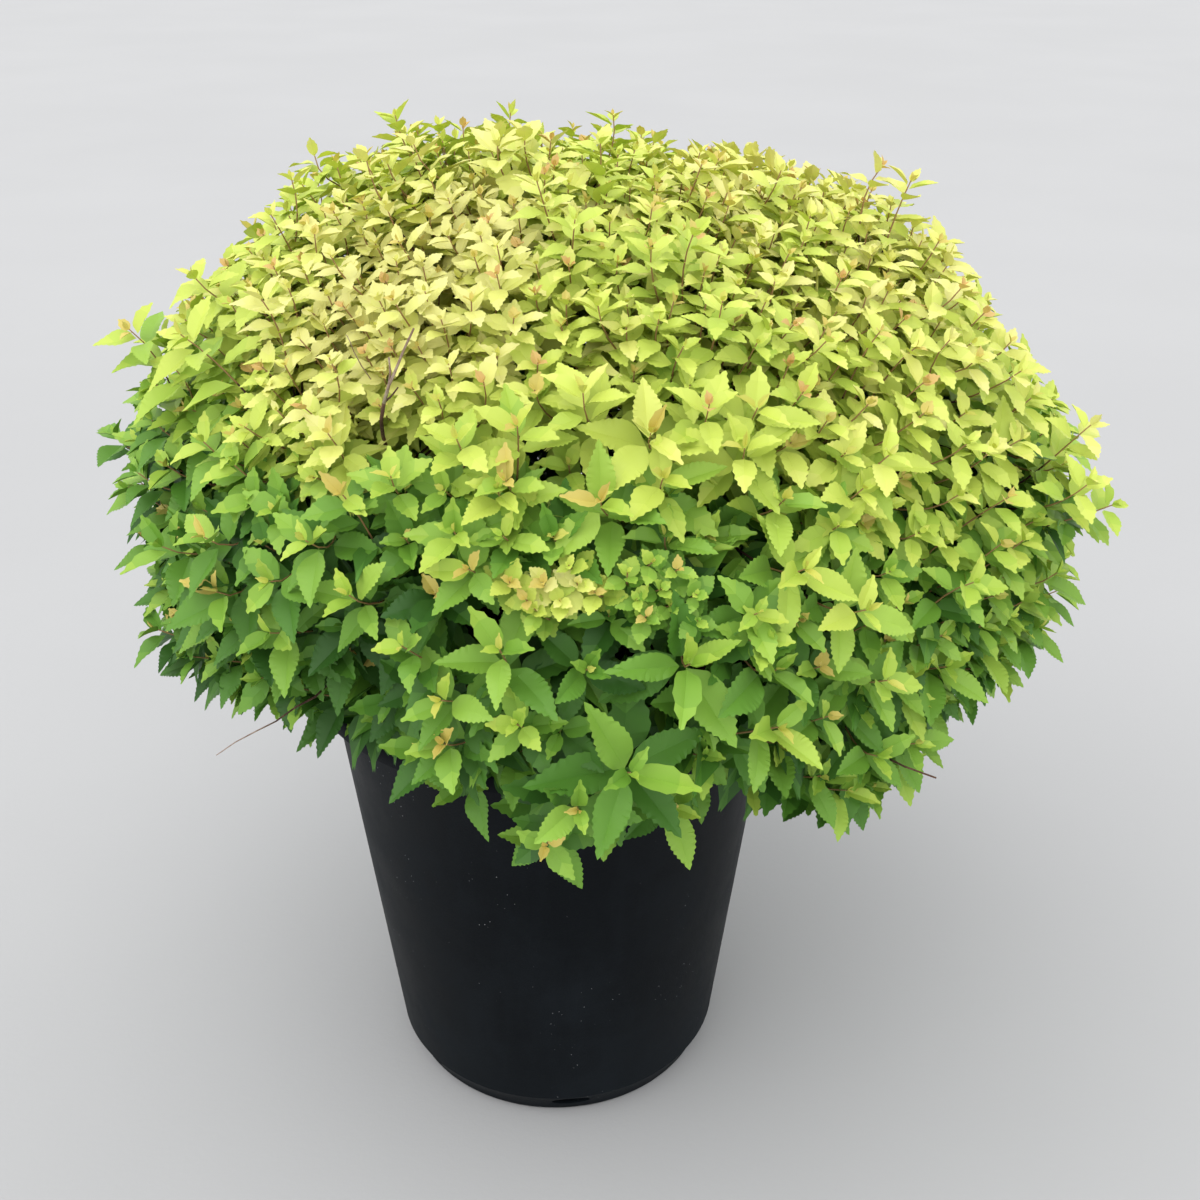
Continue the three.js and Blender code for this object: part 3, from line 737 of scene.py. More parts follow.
# The loose shoots that break the outline: azimuth, elevation and share of the reach.
LOOSE = [
    (-166, 70, 1.0), (-71, 80, 1.02), (-6, 54, 1.03), (-2, 50, 1.02), (-138, 82, 1.01), (-140, 78, 1.0),
    (-168, 40, 1.02), (-22, 16, 1.03), (-18, 12, 1.03), (-16, 20, 1.02), (-150, 12, 1.02), (176, 12, 1.02),
]
# Each hollow where dark wood shows between the shoots: azimuth, elevation, radius in degrees.
HOLLOWS = [
    (-116, 37, 4.2), (-121, 56, 3.2), (-64, 45, 3.2), (-70, 35, 3.0), (-119, 3, 7.0), (-30, 8, 3.5),
    (-122, -14, 4.0), (-61, -15, 6.0), (60, 40, 4.0), (130, 25, 4.5), (20, 10, 4.0),
]
# Where the light comes from, and the side that leaves on the flanks turn to.
LIGHT_WAY = unit(np.array((0.25, 0.1, 1.0)))
BRIGHT_SIDE = heading(-90, 45)
# Shares of the crown's reach: where limbs, most shoots and the leaves of the rosettes end.
LIMB_REACH = 0.78
SHOOT_REACH = 0.95
ROSETTE_REACH = 0.985
# The lowest ways that limbs and shoots take, as heights of unit vectors.
LOWEST_LIMB = -0.72
LOWEST_SHOOT = -0.8
LIMB_SPACING = 58 * MM
# The length of a curve's handles as a share of the way from foot to tip, on shoots and on limbs.
HANDLE = 0.36
LIMB_HANDLE = 0.35


def stem_axis(height):
    """The middle of the leaning stem at a height above its foot."""
    return np.array((STEM_LEAN * height, 0, STEM_FOOT + height))


def masses():
    """The thirteen masses: each owns the ways that are nearer to its own than to any other."""
    found = []
    for ring, count, elevation, turn, fork in RINGS:
        for index in range(count):
            way = heading(turn + 360 / count * index, elevation)
            name = ring if count == 1 else f"{ring}_{index + 1}"
            reach = float(crown_reach(way))
            gate = CROWN_CENTRE + way * reach * INNER_SHARE
            found.append(SimpleNamespace(name=name, way=way, reach=reach, gate=gate, fork=fork))
    return found


def loneliest(points, spacing, random, given=0):
    """Picks points one by one, always the one with the most room, until no gap is left.

    The first given points are picked in any case.
    """
    room = np.full(len(points), np.inf)
    chosen = []
    best = 0 if given else int(random.integers(len(points)))
    while room[best] > 1 or len(chosen) < given:
        chosen.append(best)
        apart = np.linalg.norm(points - points[best], axis=1)
        kept_off = spacing[best] if len(chosen) <= given else np.minimum(spacing, spacing[best])
        room = np.minimum(room, apart / kept_off)
        best = len(chosen) if len(chosen) < given else int(np.argmax(room))
    return np.array(chosen)


def owners(ways, all_masses):
    """The number of the mass that each way belongs to."""
    return np.argmax(ways @ np.array([mass.way for mass in all_masses]).T, axis=1)


def patchwork(ways, column):
    """What the patches do at each way to SPACING or SIZE, as a factor, or to TONE, as a sum."""
    base = 0.0 if column == TONE else 1.0
    total = np.zeros(len(ways))
    for _, azimuth, elevation, spread, *changes in PATCHES:
        total += (changes[column] - base) * nearness(ways, azimuth, elevation, spread)
    return total + base


def in_hollow(ways):
    """Whether ways lead out through one of the hollows."""
    hidden = np.zeros(len(ways), bool)
    for azimuth, elevation, radius in HOLLOWS:
        hidden |= ways @ heading(azimuth, elevation) > math.cos(math.radians(radius))
    return hidden


def limbs_of(mass, index, all_masses, random):
    """The first-order limbs of a mass: they leave its stem and spread over its cell, as in the solids."""
    ways = unit(random.normal(size=(6000, 3)))
    ways = ways[(owners(ways, all_masses) == index) & (ways[:, 2] > LOWEST_LIMB)]
    tips = on_crown(ways, LIMB_REACH)
    clear = clear_of_pot(tips, 12 * MM)
    ways, tips = ways[clear], tips[clear]
    chosen = loneliest(tips, np.full(len(tips), LIMB_SPACING), random)
    ways, tips = ways[chosen], tips[chosen]
    foot = mass.gate + mass.way * (mass.reach * random.uniform(0.02, 0.3, len(tips)))[:, None]
    length = np.linalg.norm(tips - foot, axis=1, keepdims=True)
    lift = unit(ways + UP * 0.35)
    leave, arrive = foot + mass.way * length * LIMB_HANDLE, tips - lift * length * LIMB_HANDLE
    return np.stack([foot, leave, arrive, tips], axis=1)


def shoot_ways(settings, random):
    """The way of each shoot from the crown's centre: rosettes, loose shoots, then all others.

    The others fill the room that is left, with the spacing of their place, and keep clear of the pot
    and the hollows.
    """
    ways = unit(random.normal(size=(90000, 3)))
    ways = ways[ways[:, 2] > LOWEST_SHOOT]
    ways = ways[clear_of_pot(on_crown(ways, SHOOT_REACH), 16 * MM) & ~in_hollow(ways)]
    in_shade = smooth(-(ways @ LIGHT_WAY), 0.0, 0.7)
    on_top = smooth(ways[:, 2], 0.35, 0.75)
    spacing = settings.spacing * patchwork(ways, SPACING) * mix(1.0, 1.22, in_shade)
    spacing *= mix(1.0, 0.68, on_top)
    star_size = np.array(ROSETTES, float)[:, 2]
    placed = np.array([heading(*spot[:2]) for spot in (*ROSETTES, *LOOSE)])
    ways = np.concatenate([placed, ways])
    spacing = np.concatenate([
        settings.spacing * (0.4 + 0.75 * star_size),
        np.full(len(LOOSE), settings.spacing * 0.8),
        spacing,
    ])
    return ways[loneliest(on_crown(ways, SHOOT_REACH), spacing, random, len(placed))]


def shoot_reaches(ways, random):
    """How far out each shoot ends, as a share of the crown's reach."""
    count = len(ways)
    share = SHOOT_REACH - 0.08 * random.uniform(0, 1, count) ** 2
    leggy = random.uniform(0, 1, count) < 0.09 * smooth(ways[:, 2], 0.3, 0.8)
    share = np.where(leggy, random.uniform(0.975, 1.02, count), share)
    billows = np.array([noise.noise(Vector(tip) * 22 + Vector((5, 3, 8))) for tip in on_crown(ways, 1)])
    share += 0.032 * np.clip(billows * 1.6, -1, 0.3)
    share[:len(ROSETTES)] = ROSETTE_REACH
    share[len(ROSETTES):len(ROSETTES) + len(LOOSE)] = [spot[2] for spot in LOOSE]
    return share


def feet_on_limbs(tips, ways, limbs, all_masses, shoot_length):
    """The best foot for each shoot on the limbs of its own mass, and the slope of the limb there."""
    owner = owners(ways, all_masses)
    feet, run = np.zeros_like(tips), np.zeros_like(tips)
    spots = np.linspace(0.3, 0.98, 18)
    for index, controls in enumerate(limbs):
        mine = np.flatnonzero(owner == index)
        along = np.concatenate([bezier(controls, spot) for spot in spots])
        slope = unit(np.concatenate([bezier_slope(controls, spot) for spot in spots]))
        away = tips[mine][:, None] - along[None]
        distance = np.linalg.norm(away, axis=2)
        facing = np.sum(away * slope[None], axis=2) / distance
        cost = np.abs(distance - shoot_length) + 40 * MM * (1 - facing)
        best = np.argmin(cost, axis=1)
        feet[mine], run[mine] = along[best], slope[best]
    return feet, run


def shoot_tones(ways, tips, random):
    """How light each shoot is: gold above a line round the crown that dips on the sunny side."""
    lumps = np.array([noise.noise(Vector(tip) * 16) for tip in tips])
    gold_line = 0.5 - 0.26 * nearness(ways, -28, 12, 42) - 0.1 * nearness(ways, 90, 10, 80)
    tone = 0.25 + 0.4 * smooth(ways[:, 2], gold_line - 0.2, gold_line + 0.22) + 0.13 * lumps
    tone += patchwork(ways, TONE)
    tone += random.normal(0, 0.035, len(ways))
    tone[:len(ROSETTES)] = [spot[3] for spot in ROSETTES]
    return tone


def shoot_vigours(ways, random):
    """How large each shoot's leaves grow: larger away from the light, smaller on top."""
    light = (ways @ LIGHT_WAY) * 0.9
    away = smooth(-light, -0.7, 0.05)
    on_top = smooth(ways[:, 2], 0.45, 0.8)
    vigour = patchwork(ways, SIZE) * mix(0.77, 1.05, away) * random.normal(1, 0.09, len(ways))
    vigour *= mix(1.0, 0.87, on_top)
    vigour[:len(ROSETTES)] = [spot[2] for spot in ROSETTES]
    return vigour


def shoots(settings):
    """Every leafy shoot of the crown, and the curves of all limbs that they stand on."""
    random = np.random.default_rng(2024)
    all_masses = masses()
    ways = shoot_ways(settings, random)
    tips = on_crown(ways, shoot_reaches(ways, random))
    limbs = [limbs_of(mass, index, all_masses, random) for index, mass in enumerate(all_masses)]
    feet, run = feet_on_limbs(tips, ways, limbs, all_masses, settings.shoot_length)

    length = np.linalg.norm(tips - feet, axis=1, keepdims=True)
    sideways = np.sqrt(np.clip(1 - ways[:, 2:] ** 2, 0, 1))
    lift = settings.upturn * mix(1.0, 0.85, smooth(sideways, 0.6, 0.98))
    lift *= mix(1.0, 1.6, smooth(-ways[:, 2:], 0.0, 0.45))
    aim = unit(ways + UP * lift)
    aim = unit(aim + random.normal(0, 0.13, aim.shape))
    start = unit(run + unit(tips - feet))
    leave, arrive = feet + start * length * HANDLE, tips - aim * length * HANDLE
    controls = np.stack([feet, leave, arrive, tips], axis=1)
    spots = (0.2, 0.4, 0.6, 0.8, 1)
    free = np.all([clear_of_pot(bezier(controls, spot), 3 * MM) for spot in spots], axis=0)

    tone = shoot_tones(ways, tips, random)
    vigour = shoot_vigours(ways, random)
    star = np.arange(len(ways)) < len(ROSETTES)
    grown = SimpleNamespace(
        ways=ways[free], aim=aim[free], controls=controls[free], length=length[free, 0],
        tone=tone[free], vigour=vigour[free], star=star[free],
    )
    return grown, np.concatenate(limbs), all_masses


# ---- Wood ----------------------------------------------------------------------------------------
class WoodSettings(bpy.types.PropertyGroup):
    bough_foot: FloatProperty(
        name="Bough Foot", description="Radius where a bough leaves the stem",
        default=4.6 * MM, unit="LENGTH"
    )
    bough_tip: FloatProperty(
        name="Bough Tip", description="Radius where a bough ends", default=2.8 * MM, unit="LENGTH"
    )
    twig_foot: FloatProperty(
        name="Twig Foot", description="Radius of a shoot at its limb", default=0.8 * MM, unit="LENGTH"
    )
    twig_tip: FloatProperty(
        name="Twig Tip", description="Radius of a shoot at its tip", default=0.32 * MM, unit="LENGTH"
    )
    bark_dark: FloatVectorProperty(
        name="Dark Bark", description="Furrows and old wood",
        default=shade_of(58, 36, 28), subtype="COLOR"
    )
    bark_pale: FloatVectorProperty(
        name="Pale Bark", description="Ridges and flakes",
        default=shade_of(126, 92, 70), subtype="COLOR"
    )
    twig: FloatVectorProperty(
        name="Twig", description="Ripe twigs", default=shade_of(64, 38, 30), subtype="COLOR"
    )
    young: FloatVectorProperty(
        name="Young Twig", description="This year's growth",
        default=shade_of(156, 120, 78), subtype="COLOR"
    )
    dead: FloatVectorProperty(
        name="Dead Twig", description="Bare, weathered twigs",
        default=shade_of(214, 194, 176), subtype="COLOR"
    )
    dead_dark: FloatVectorProperty(
        name="Dead Twig Grain", description="Dark fibres of dead twigs",
        default=shade_of(128, 98, 78), subtype="COLOR"
    )


def stem_rings():
    """Flared foot, waist, and a knob at the top where the boughs leave."""
    height = STEM_TOP - STEM_FOOT
    profile = [
        (24, 0), (22.5, 2), (19.2, 6), (17, 11), (16, 16), (15.4, 22), (15, 28), (15, 34),
        (14, 41), (12.6, 48), (11, 55), (9.6, 56.6), (7, 58),
    ]
    highest = profile[-1][1]
    return [(radius * MM, STEM_FOOT + level / highest * height) for radius, level in profile]


def bark_relief(piece, depth, across, along):
    """Pushes a round limb's surface in and out by long ridges and small flakes."""
    piece.data.update()
    normals = [vertex.normal.copy() for vertex in piece.data.vertices]
    for vertex, normal in zip(piece.data.vertices, normals):
        stretched = Vector((vertex.co.x * across, vertex.co.y * across, vertex.co.z * along))
        ridge = abs(noise.noise(stretched)) + 0.5 * noise.noise(stretched * 2.3)
        vertex.co += normal * depth * (ridge - 0.3)


def bough_line(mass, rings):
    """From the fork of the stem to the gate of its mass."""
    start = stem_axis(mass.fork)
    sweep = float(np.linalg.norm(mass.gate - start)) * 0.5
    bend = mass.gate - mass.way * sweep
    t = np.linspace(0, 1, rings)[:, None]
    return (1 - t) ** 2 * start + 2 * (1 - t) * t * bend + t**2 * mass.gate


def bough(mass, settings):
    """One tapering bough, drawn out of a ring at the stem, with fine bark."""
    line = bough_line(mass, 15)
    steps = np.gradient(line, axis=0)
    radii = np.linspace(settings.bough_foot, settings.bough_tip, len(line))
    way = Vector(steps[0]).normalized()
    bpy.ops.object.select_all(action="DESELECT")
    bpy.ops.mesh.primitive_circle_add(
        vertices=10, radius=radii[0], location=line[0], rotation=way.to_track_quat("Z", "Y").to_euler()
    )
    limb = bpy.context.object
    limb.name = limb.data.name = "bough_" + mass.name + "_bark"
    bpy.ops.object.transform_apply(location=True, rotation=True)
    bpy.ops.object.mode_set(mode="EDIT")
    bpy.ops.mesh.select_all(action="SELECT")
    for before, here, ahead, old, new in zip(line, line[1:], steps[1:], radii, radii[1:]):
        bpy.ops.mesh.extrude_region_move(TRANSFORM_OT_translate={"value": tuple(here - before)})
        bpy.ops.transform.resize(value=(new / old,) * 3, center_override=tuple(here))
        turn = way.rotation_difference(Vector(ahead))
        if turn.to_axis_angle()[1] > 1e-4:
            centre = Matrix.Translation(here)
            tilt_ring(limb, centre @ turn.to_matrix().to_4x4() @ centre.inverted())
        way = Vector(ahead).normalized()
    close_ends(limb)
    applied(limb, "SUBSURF", levels=1, render_levels=1)
    bark_relief(limb, 0.7 * MM, 260, 130)
    smooth_by_angle(limb, 60)
    return limb


def tilt_ring(limb, matrix):
    """Turns the selected ring square to the limb's new way."""
    bpy.ops.object.mode_set(mode="OBJECT")
    for vertex in limb.data.vertices:
        if vertex.select:
            vertex.co = matrix @ vertex.co
    bpy.ops.object.mode_set(mode="EDIT")


class SPIREA_OT_wood(bpy.types.Operator):
    """Models the short stem and the boughs that leave it, with relief in their bark"""

    bl_idname = "spirea.wood"
    bl_label = "Stem and Boughs"

    def execute(self, context):
        settings = context.scene.spirea_wood
        material = bark("bark", colour(settings.bark_dark), colour(settings.bark_pale), ALONG_STEMS)
        stem = close_ends(turned("stem_bark", stem_rings(), 40, STEM_LEAN, STEM_FOOT))
        applied(stem, "SUBSURF", levels=2, render_levels=2)
        bark_relief(stem, 1.8 * MM, 190, 42)
        smooth_by_angle(stem, 60)
        finished(stem, [material], "bark", "stem")
        for mass in masses():
            finished(bough(mass, settings), [material], "bark", "bough_" + mass.name)
        return {"FINISHED"}


# ---- Bare twigs ----------------------------------------------------------------------------------
# Each dead twig: whether it is bleached, then its thickness at foot and tip and its bends in mm.
BARE_TWIGS = [
    (False, 2.0, 1.7, [
        (-62, -96, 432), (-73, -118, 450), (-73, -132, 466), (-72, -141, 477), (-69, -148, 488),
    ]),
    (True, 1.7, 0.9, [
        (-69, -148, 488), (-66, -150, 497), (-63, -151, 503), (-58, -152, 514), (-53, -154, 524),
    ]),
    (True, 1.2, 0.8, [(-66, -150, 497), (-65, -150, 503), (-65, -151, 510)]),
    (False, 0.9, 0.7, [(-69, -148, 488), (-65, -149, 492), (-62, -150, 496)]),
    (True, 0.6, 0.4, [
        (-76, -128, 490), (-80, -135, 501), (-82, -140, 509), (-83, -143, 515), (-84, -144, 518),
    ]),
    (False, 1.5, 0.8, [
        (-84, -92, 326), (-108, -120, 330), (-115, -140, 330), (-123, -150, 330), (-131, -160, 328),
    ]),
    (True, 0.8, 0.4, [(-131, -160, 328), (-138, -168, 328), (-147, -177, 327), (-155, -184, 324)]),
    (False, 1.4, 0.9, [
        (140, -108, 298), (167, -130, 294), (175, -145, 297), (181, -155, 299), (194, -168, 301),
    ]),
]


class SPIREA_OT_bare_twigs(bpy.types.Operator):
    """Adds the few dead twigs that stand bare among the leaves"""

    bl_idname = "spirea.bare_twigs"
    bl_label = "Bare Twigs"

    def execute(self, context):
        wood = context.scene.spirea_wood
        brown = bark("dead_twig_bark", colour(wood.twig), colour(wood.bark_pale), ALONG_TWIGS)
        pale = bark("bleached_twig_bark", colour(wood.dead_dark), colour(wood.dead), ALONG_TWIGS)
        for name, bleached, material in (
            ("bare_twigs_brown", False, brown), ("bare_twigs_bleached", True, pale)
        ):
            all_points, all_faces, start = [], [], 0
            for kind, foot, tip, bends in BARE_TWIGS:
                if kind != bleached:
                    continue
                line = np.array(bends, float)[None] * MM
                radii = np.linspace(foot, tip, len(bends))[None] * MM / 2
                points, faces = tubes(line, radii, 8)
                all_points.append(points)
                all_faces += [group + start for group in faces]
                start += len(points)
            piece = mesh_piece(name, np.concatenate(all_points), all_faces, [material])
            finished(piece, [], "bark")
        return {"FINISHED"}


# ---- Leaves --------------------------------------------------------------------------------------
class LeafSettings(bpy.types.PropertyGroup):
    bud_rust: FloatVectorProperty(
        name="Rusty Buds", description="Newest leaves in sun",
        default=shade_of(218, 184, 112), subtype="COLOR"
    )
    bud_tan: FloatVectorProperty(
        name="Tan Buds", description="Newest leaves", default=shade_of(216, 200, 108), subtype="COLOR"
    )
    bud_gold: FloatVectorProperty(
        name="Gold Buds", description="Newest leaves in shade",
        default=shade_of(212, 212, 104), subtype="COLOR"
    )
    cream: FloatVectorProperty(
        name="Cream", description="The palest leaves", default=shade_of(230, 227, 142), subtype="COLOR"
    )
    pale_gold: FloatVectorProperty(
        name="Pale Gold", description="Leaves in full light",
        default=shade_of(227, 230, 124), subtype="COLOR"
    )
    gold: FloatVectorProperty(
        name="Gold", description="Leaves in full light",
        default=shade_of(210, 224, 102), subtype="COLOR"
    )
    yellow_lime: FloatVectorProperty(
        name="Yellow Lime", description="Leaves in good light",
        default=shade_of(198, 215, 92), subtype="COLOR"
    )
    lime: FloatVectorProperty(
        name="Lime", description="Leaves in good light", default=shade_of(178, 206, 82), subtype="COLOR"
    )
    leaf_green: FloatVectorProperty(
        name="Leaf Green", description="Leaves in half shade",
        default=shade_of(148, 188, 72), subtype="COLOR"
    )
    mid_green: FloatVectorProperty(
        name="Mid Green", description="Leaves in half shade",
        default=shade_of(113, 160, 55), subtype="COLOR"
    )
    green: FloatVectorProperty(
        name="Green", description="Leaves in shade", default=shade_of(86, 136, 47), subtype="COLOR"
    )
    deep_green: FloatVectorProperty(
        name="Deep Green", description="Old leaves in shade",
        default=shade_of(54, 98, 32), subtype="COLOR"
    )


# From shade to full light. The paler parts of a leaf take the next half tones.
TONES = [
    "deep_green", "green", "mid_green", "leaf_green", "lime", "yellow_lime", "gold", "pale_gold", "cream",
]
TONE_SLOTS = ["green_leaves"] * 4 + ["lime_leaves"] * 2 + ["gold_leaves"] * 3
# Buds with a colour of their own have tones past 1: this number and the ones after it.
BUDS = ["bud_rust", "bud_tan", "bud_gold"]
FIRST_BUD_TONE = 2
# The kinds of leaf: teeth on each side, ribs and whether the blade is quilted between its veins, then
# fold on the midrib in radians, curl and ruffle of each blade of that kind.
BUD, YOUNG, GROWN, BROAD, SHADE = range(5)
BLADES = [
    (3, 1, False, [(0.3, -0.2, 0.0), (0.24, 0.2, 0.0), (0.18, 0.35, 0.0)]),
    (4, 2, False, [(0.32, 0.1, 0.04), (0.24, 0.35, 0.04), (0.2, -0.15, 0.04)]),
    (6, 3, False, [
        (0.22, 0.12, 0.05), (0.15, 0.3, 0.08), (0.2, 0.03, 0.05), (0.12, 0.42, 0.1), (0.26, -0.12, 0.05),
    ]),
    (9, 6, True, [(0.2, 0.14, 0.06), (0.13, 0.34, 0.08), (0.22, 0.04, 0.06)]),
    (2, 1, False, [(0.25, 0.3, 0.05), (0.15, 0.5, 0.05)]),
]
# The kind of leaf at each rank down from a shoot's tip. All further ones are SHADE.
KINDS_BY_RANK = [BUD] * 2 + [YOUNG] * 2 + [GROWN] * 7
BROAD_RANKS = range(4, 9)
BROAD_LENGTH = 27 * MM
BLUSHING_RANKS = 3
# Each leaf stands this much further round the shoot than the one before.
LEAF_TURN = math.radians(137.5)
# How many old inner leaves each shoot and each limb has.
OLD_ON_SHOOT = 5
OLD_ON_LIMB = 24
# Radii of the limbs and of the leaders, which carry each bough on into its mass, up to a share of the
# reach.
LIMB_FOOT = 2.0 * MM
LIMB_TIP = 1.1 * MM
LEADER_TIP = 1.6 * MM
LEADER_REACH = 0.72
LEAF_ROUGHNESS = 0.5
LEAF_GLOSS = 0.35
LEAF_PARTS = ("root", "forward", "across", "face", "size", "width", "tone", "kind")
# Shares of a leaf's length: where the blade begins, half the stalk's thickness, where the paler end of
# the blade begins, and how far out the row of points between rib and edge runs.
BLADE_START = 0.06
STALK_HALF = 0.015
PALER_PAST = 0.66
INNER_ROW = 0.52
RIDGE = 0.011
FURROW = -0.003


def half_width(u):
    """The blade's half width at each share of its length: wedge base, pointed tip."""
    share = np.clip((u - BLADE_START) / 0.94, 0, 1)
    return 1.96 * share**0.8 * (1 - share) ** 1.25


def blade(teeth, ribs, quilted, fold, curl, ruffle):
    """A leaf one unit long and one unit wide: toothed, folded on its midrib, pleated along its veins.

    Returns its points, its triangles and which of them are paler, towards the tip.
    """
    points = [(0.0, -STALK_HALF, 0.0), (0.0, STALK_HALF, 0.0), (BLADE_START, 0.0, 0.0)]
    rib = [2]
    for u in np.linspace(BLADE_START, 1.0, ribs + 2)[1:]:
        rib.append(len(points))
        points.append((u, 0.0, 0.0))
    triangles = [(0, 2, 1)]
    for side in (1, -1):
        edge = [2, len(points)]
        points.append((0.2, side * half_width(0.2), 0.0))
        for u in np.linspace(0.27, 0.88, teeth):
            notch = 0.015 + 0.05 * u
            edge += [len(points), len(points) + 1]
            points.append((u, side * half_width(u) * (1 - notch), 0.008))
            points.append((u + 0.4 / teeth, side * half_width(u + 0.15 / teeth) * (1 + notch), -0.005))
        edge.append(rib[-1])
        rows = [rib, edge]
        if quilted:
            inner = [2]
            for u in np.linspace(0.18, 0.86, 2 * ribs + 1):
                inner.append(len(points))
                points.append((u, side * half_width(u) * INNER_ROW, RIDGE if len(inner) % 2 else FURROW))
            inner.append(rib[-1])
            rows = [rib, inner, edge]
        for inside, outside in zip(rows, rows[1:]):
            triangles += strip(points, inside, outside, side > 0)
    shape, triangles = np.array(points), np.array(triangles)
    paler = (shape[triangles, 0].mean(axis=1) > PALER_PAST) & (not quilted)
    x, y, z = shape.T
    z = z + np.abs(y) * math.tan(fold) + ruffle * np.sin(x * 8 + 1.7 * np.sign(y)) * np.abs(y)
    bend = x * curl
    ahead = np.sin(bend) / curl + z * np.sin(bend)
    rise = z * np.cos(bend) - (1 - np.cos(bend)) / curl
    return np.stack([ahead, y, rise], axis=-1), triangles, paler


def strip(points, inside, outside, upward):
    """Triangles between two rows of points that share their first and last ones."""
    made, i, j = [], 0, 0
    while i < len(inside) - 1 or j < len(outside) - 1:
        step_in = i < len(inside) - 1 and (
            j == len(outside) - 1 or points[inside[i + 1]][0] < points[outside[j + 1]][0]
        )
        if step_in:
            corner = (inside[i], inside[i + 1], outside[j])
            i += 1
        else:
            corner = (inside[i], outside[j + 1], outside[j])
            j += 1
        if len(set(corner)) == 3:
            made.append(corner if upward else corner[::-1])
    return made


def leaf_kinds():
    """Each kind's blades, modelled once. leaf_mesh copies them."""
    return [
        [blade(teeth, ribs, quilted, *bend) for bend in bends] for teeth, ribs, quilted, bends in BLADES
    ]


def leaves_of(grown, settings):
    """The leaves of all shoots, youngest first: for each rank the arrays that LEAF_PARTS names."""
    random = np.random.default_rng(77)
    count = len(grown.tone)
    spin = random.uniform(0, 2 * math.pi, count)
    sunlit = smooth(grown.ways[:, 2], 0.3, 0.6)
    blush = random.uniform(0, 1, count) * mix(1.0, 0.55, sunlit) + 0.08 * (1 - sunlit)
    blush = np.where(grown.star, blush * 0.55 + 0.04, blush)
    young_glow = mix(0.13, 0.12, smooth(grown.tone, 0.3, 0.65))
    # Older leaves lower on each shoot grow darker: partly their real greening with age, partly painted
    # shade deeper in the crown, with less of it on the sunlit top.
    age_and_shade_darkening = mix(0.045, 0.016, sunlit)
    plump = (
        1.16
        - 0.04 * sunlit
        - 0.2 * smooth(grown.vigour, 0.85, 1.15)
        - 0.08 * smooth(grown.vigour, 1.2, 1.6)
        + 0.5 * smooth(-grown.vigour, -0.6, -0.45)
    )
    sideways = np.abs(grown.ways[:, :1])
    outlook = 0.3 + 0.4 * smooth(sideways, 0.5, 0.9) + 0.3 * sunlit[:, None]
    flank = smooth(-grown.ways[:, 1:2], -0.5, 0.1) * smooth(sideways, 0.35, 0.8)
    rows = []
    from_tip = 0.0
    for rank in range(settings.leaves):
        age = min(1.0, rank / 5)
        gap = from_tip * (0.45 + 0.55 * grown.vigour) * random.normal(1, 0.06, count)
        from_tip += min(0.9 + 0.55 * rank, 5.5) * MM
        share = 1 - gap / grown.length
        there = share > 0.1
        share = np.clip(share, 0, 1)
        axis, root = unit(bezier_slope(grown.controls, share)), bezier(grown.controls, share)

        turn = spin + LEAF_TURN * rank + random.normal(0, 0.2, count)
        side = unit(np.cross(UP + 0.01, axis))
        beside = np.cross(axis, side)
        radial = np.cos(turn)[:, None] * side + np.sin(turn)[:, None] * beside
        degrees_open = mix(24, 68, age**0.8) + 1.8 * max(0, rank - 5)
        opened = (np.radians(degrees_open) + random.normal(0, 0.14, count))[:, None]
        forward = np.cos(opened) * axis + np.sin(opened) * radial
        face = np.sin(opened) * axis - np.cos(opened) * radial

        towards = UP * outlook + grown.aim * 0.85 + BRIGHT_SIDE * 0.9 * flank
        light = unit(towards + random.normal(0, 0.16, (count, 3)))
        forward = unit(forward - (0.22 + 0.4 * flank) * age * dots(forward, light) * light)
        face = unit(face - dots(face, forward) * forward)
        bright = unit(light - dots(light, forward) * forward)
        face = unit(mix(face, bright, (0.6 + 0.3 * flank) * min(1.0, 0.2 + age)))

        growth = 0.24 + 0.76 * min(1.0, rank / 4.6)
        size = settings.leaf_length * growth * grown.vigour * random.normal(1, 0.09, count)
        width = size * settings.leaf_width * plump * mix(0.98, 1.0, age) * random.normal(1, 0.08, count)
        tone = grown.tone + young_glow * (1 - min(rank, 5) / 5) - age_and_shade_darkening * max(0, rank - 4)
        tone = np.clip(tone + random.normal(0, 0.045, count), 0, 1)
        tip, middle = root + forward * size[:, None], root + forward * size[:, None] / 2
        free = clear_of_pot(tip, 1.5 * MM) & clear_of_pot(middle, 2 * MM) & clear_of_pot(root, 1 * MM)

        kind = np.full(count, KINDS_BY_RANK[rank] if rank < len(KINDS_BY_RANK) else SHADE)
        if rank in BROAD_RANKS:
            kind[size > BROAD_LENGTH] = BROAD
        if rank < BLUSHING_RANKS:
            tinted = blush < 0.5 - 0.17 * rank
            tone = np.where(tinted, FIRST_BUD_TONE + np.digitize(blush, (0.09, 0.26)), tone)
            size = np.where(tinted, size * np.where(grown.star, 1.2, 0.88 - 0.1 * rank), size)
        keep = there & free
        parts = (root, forward, np.cross(face, forward), face, size, width, tone, kind)
        rows.append([part[keep] for part in parts])
    return rows


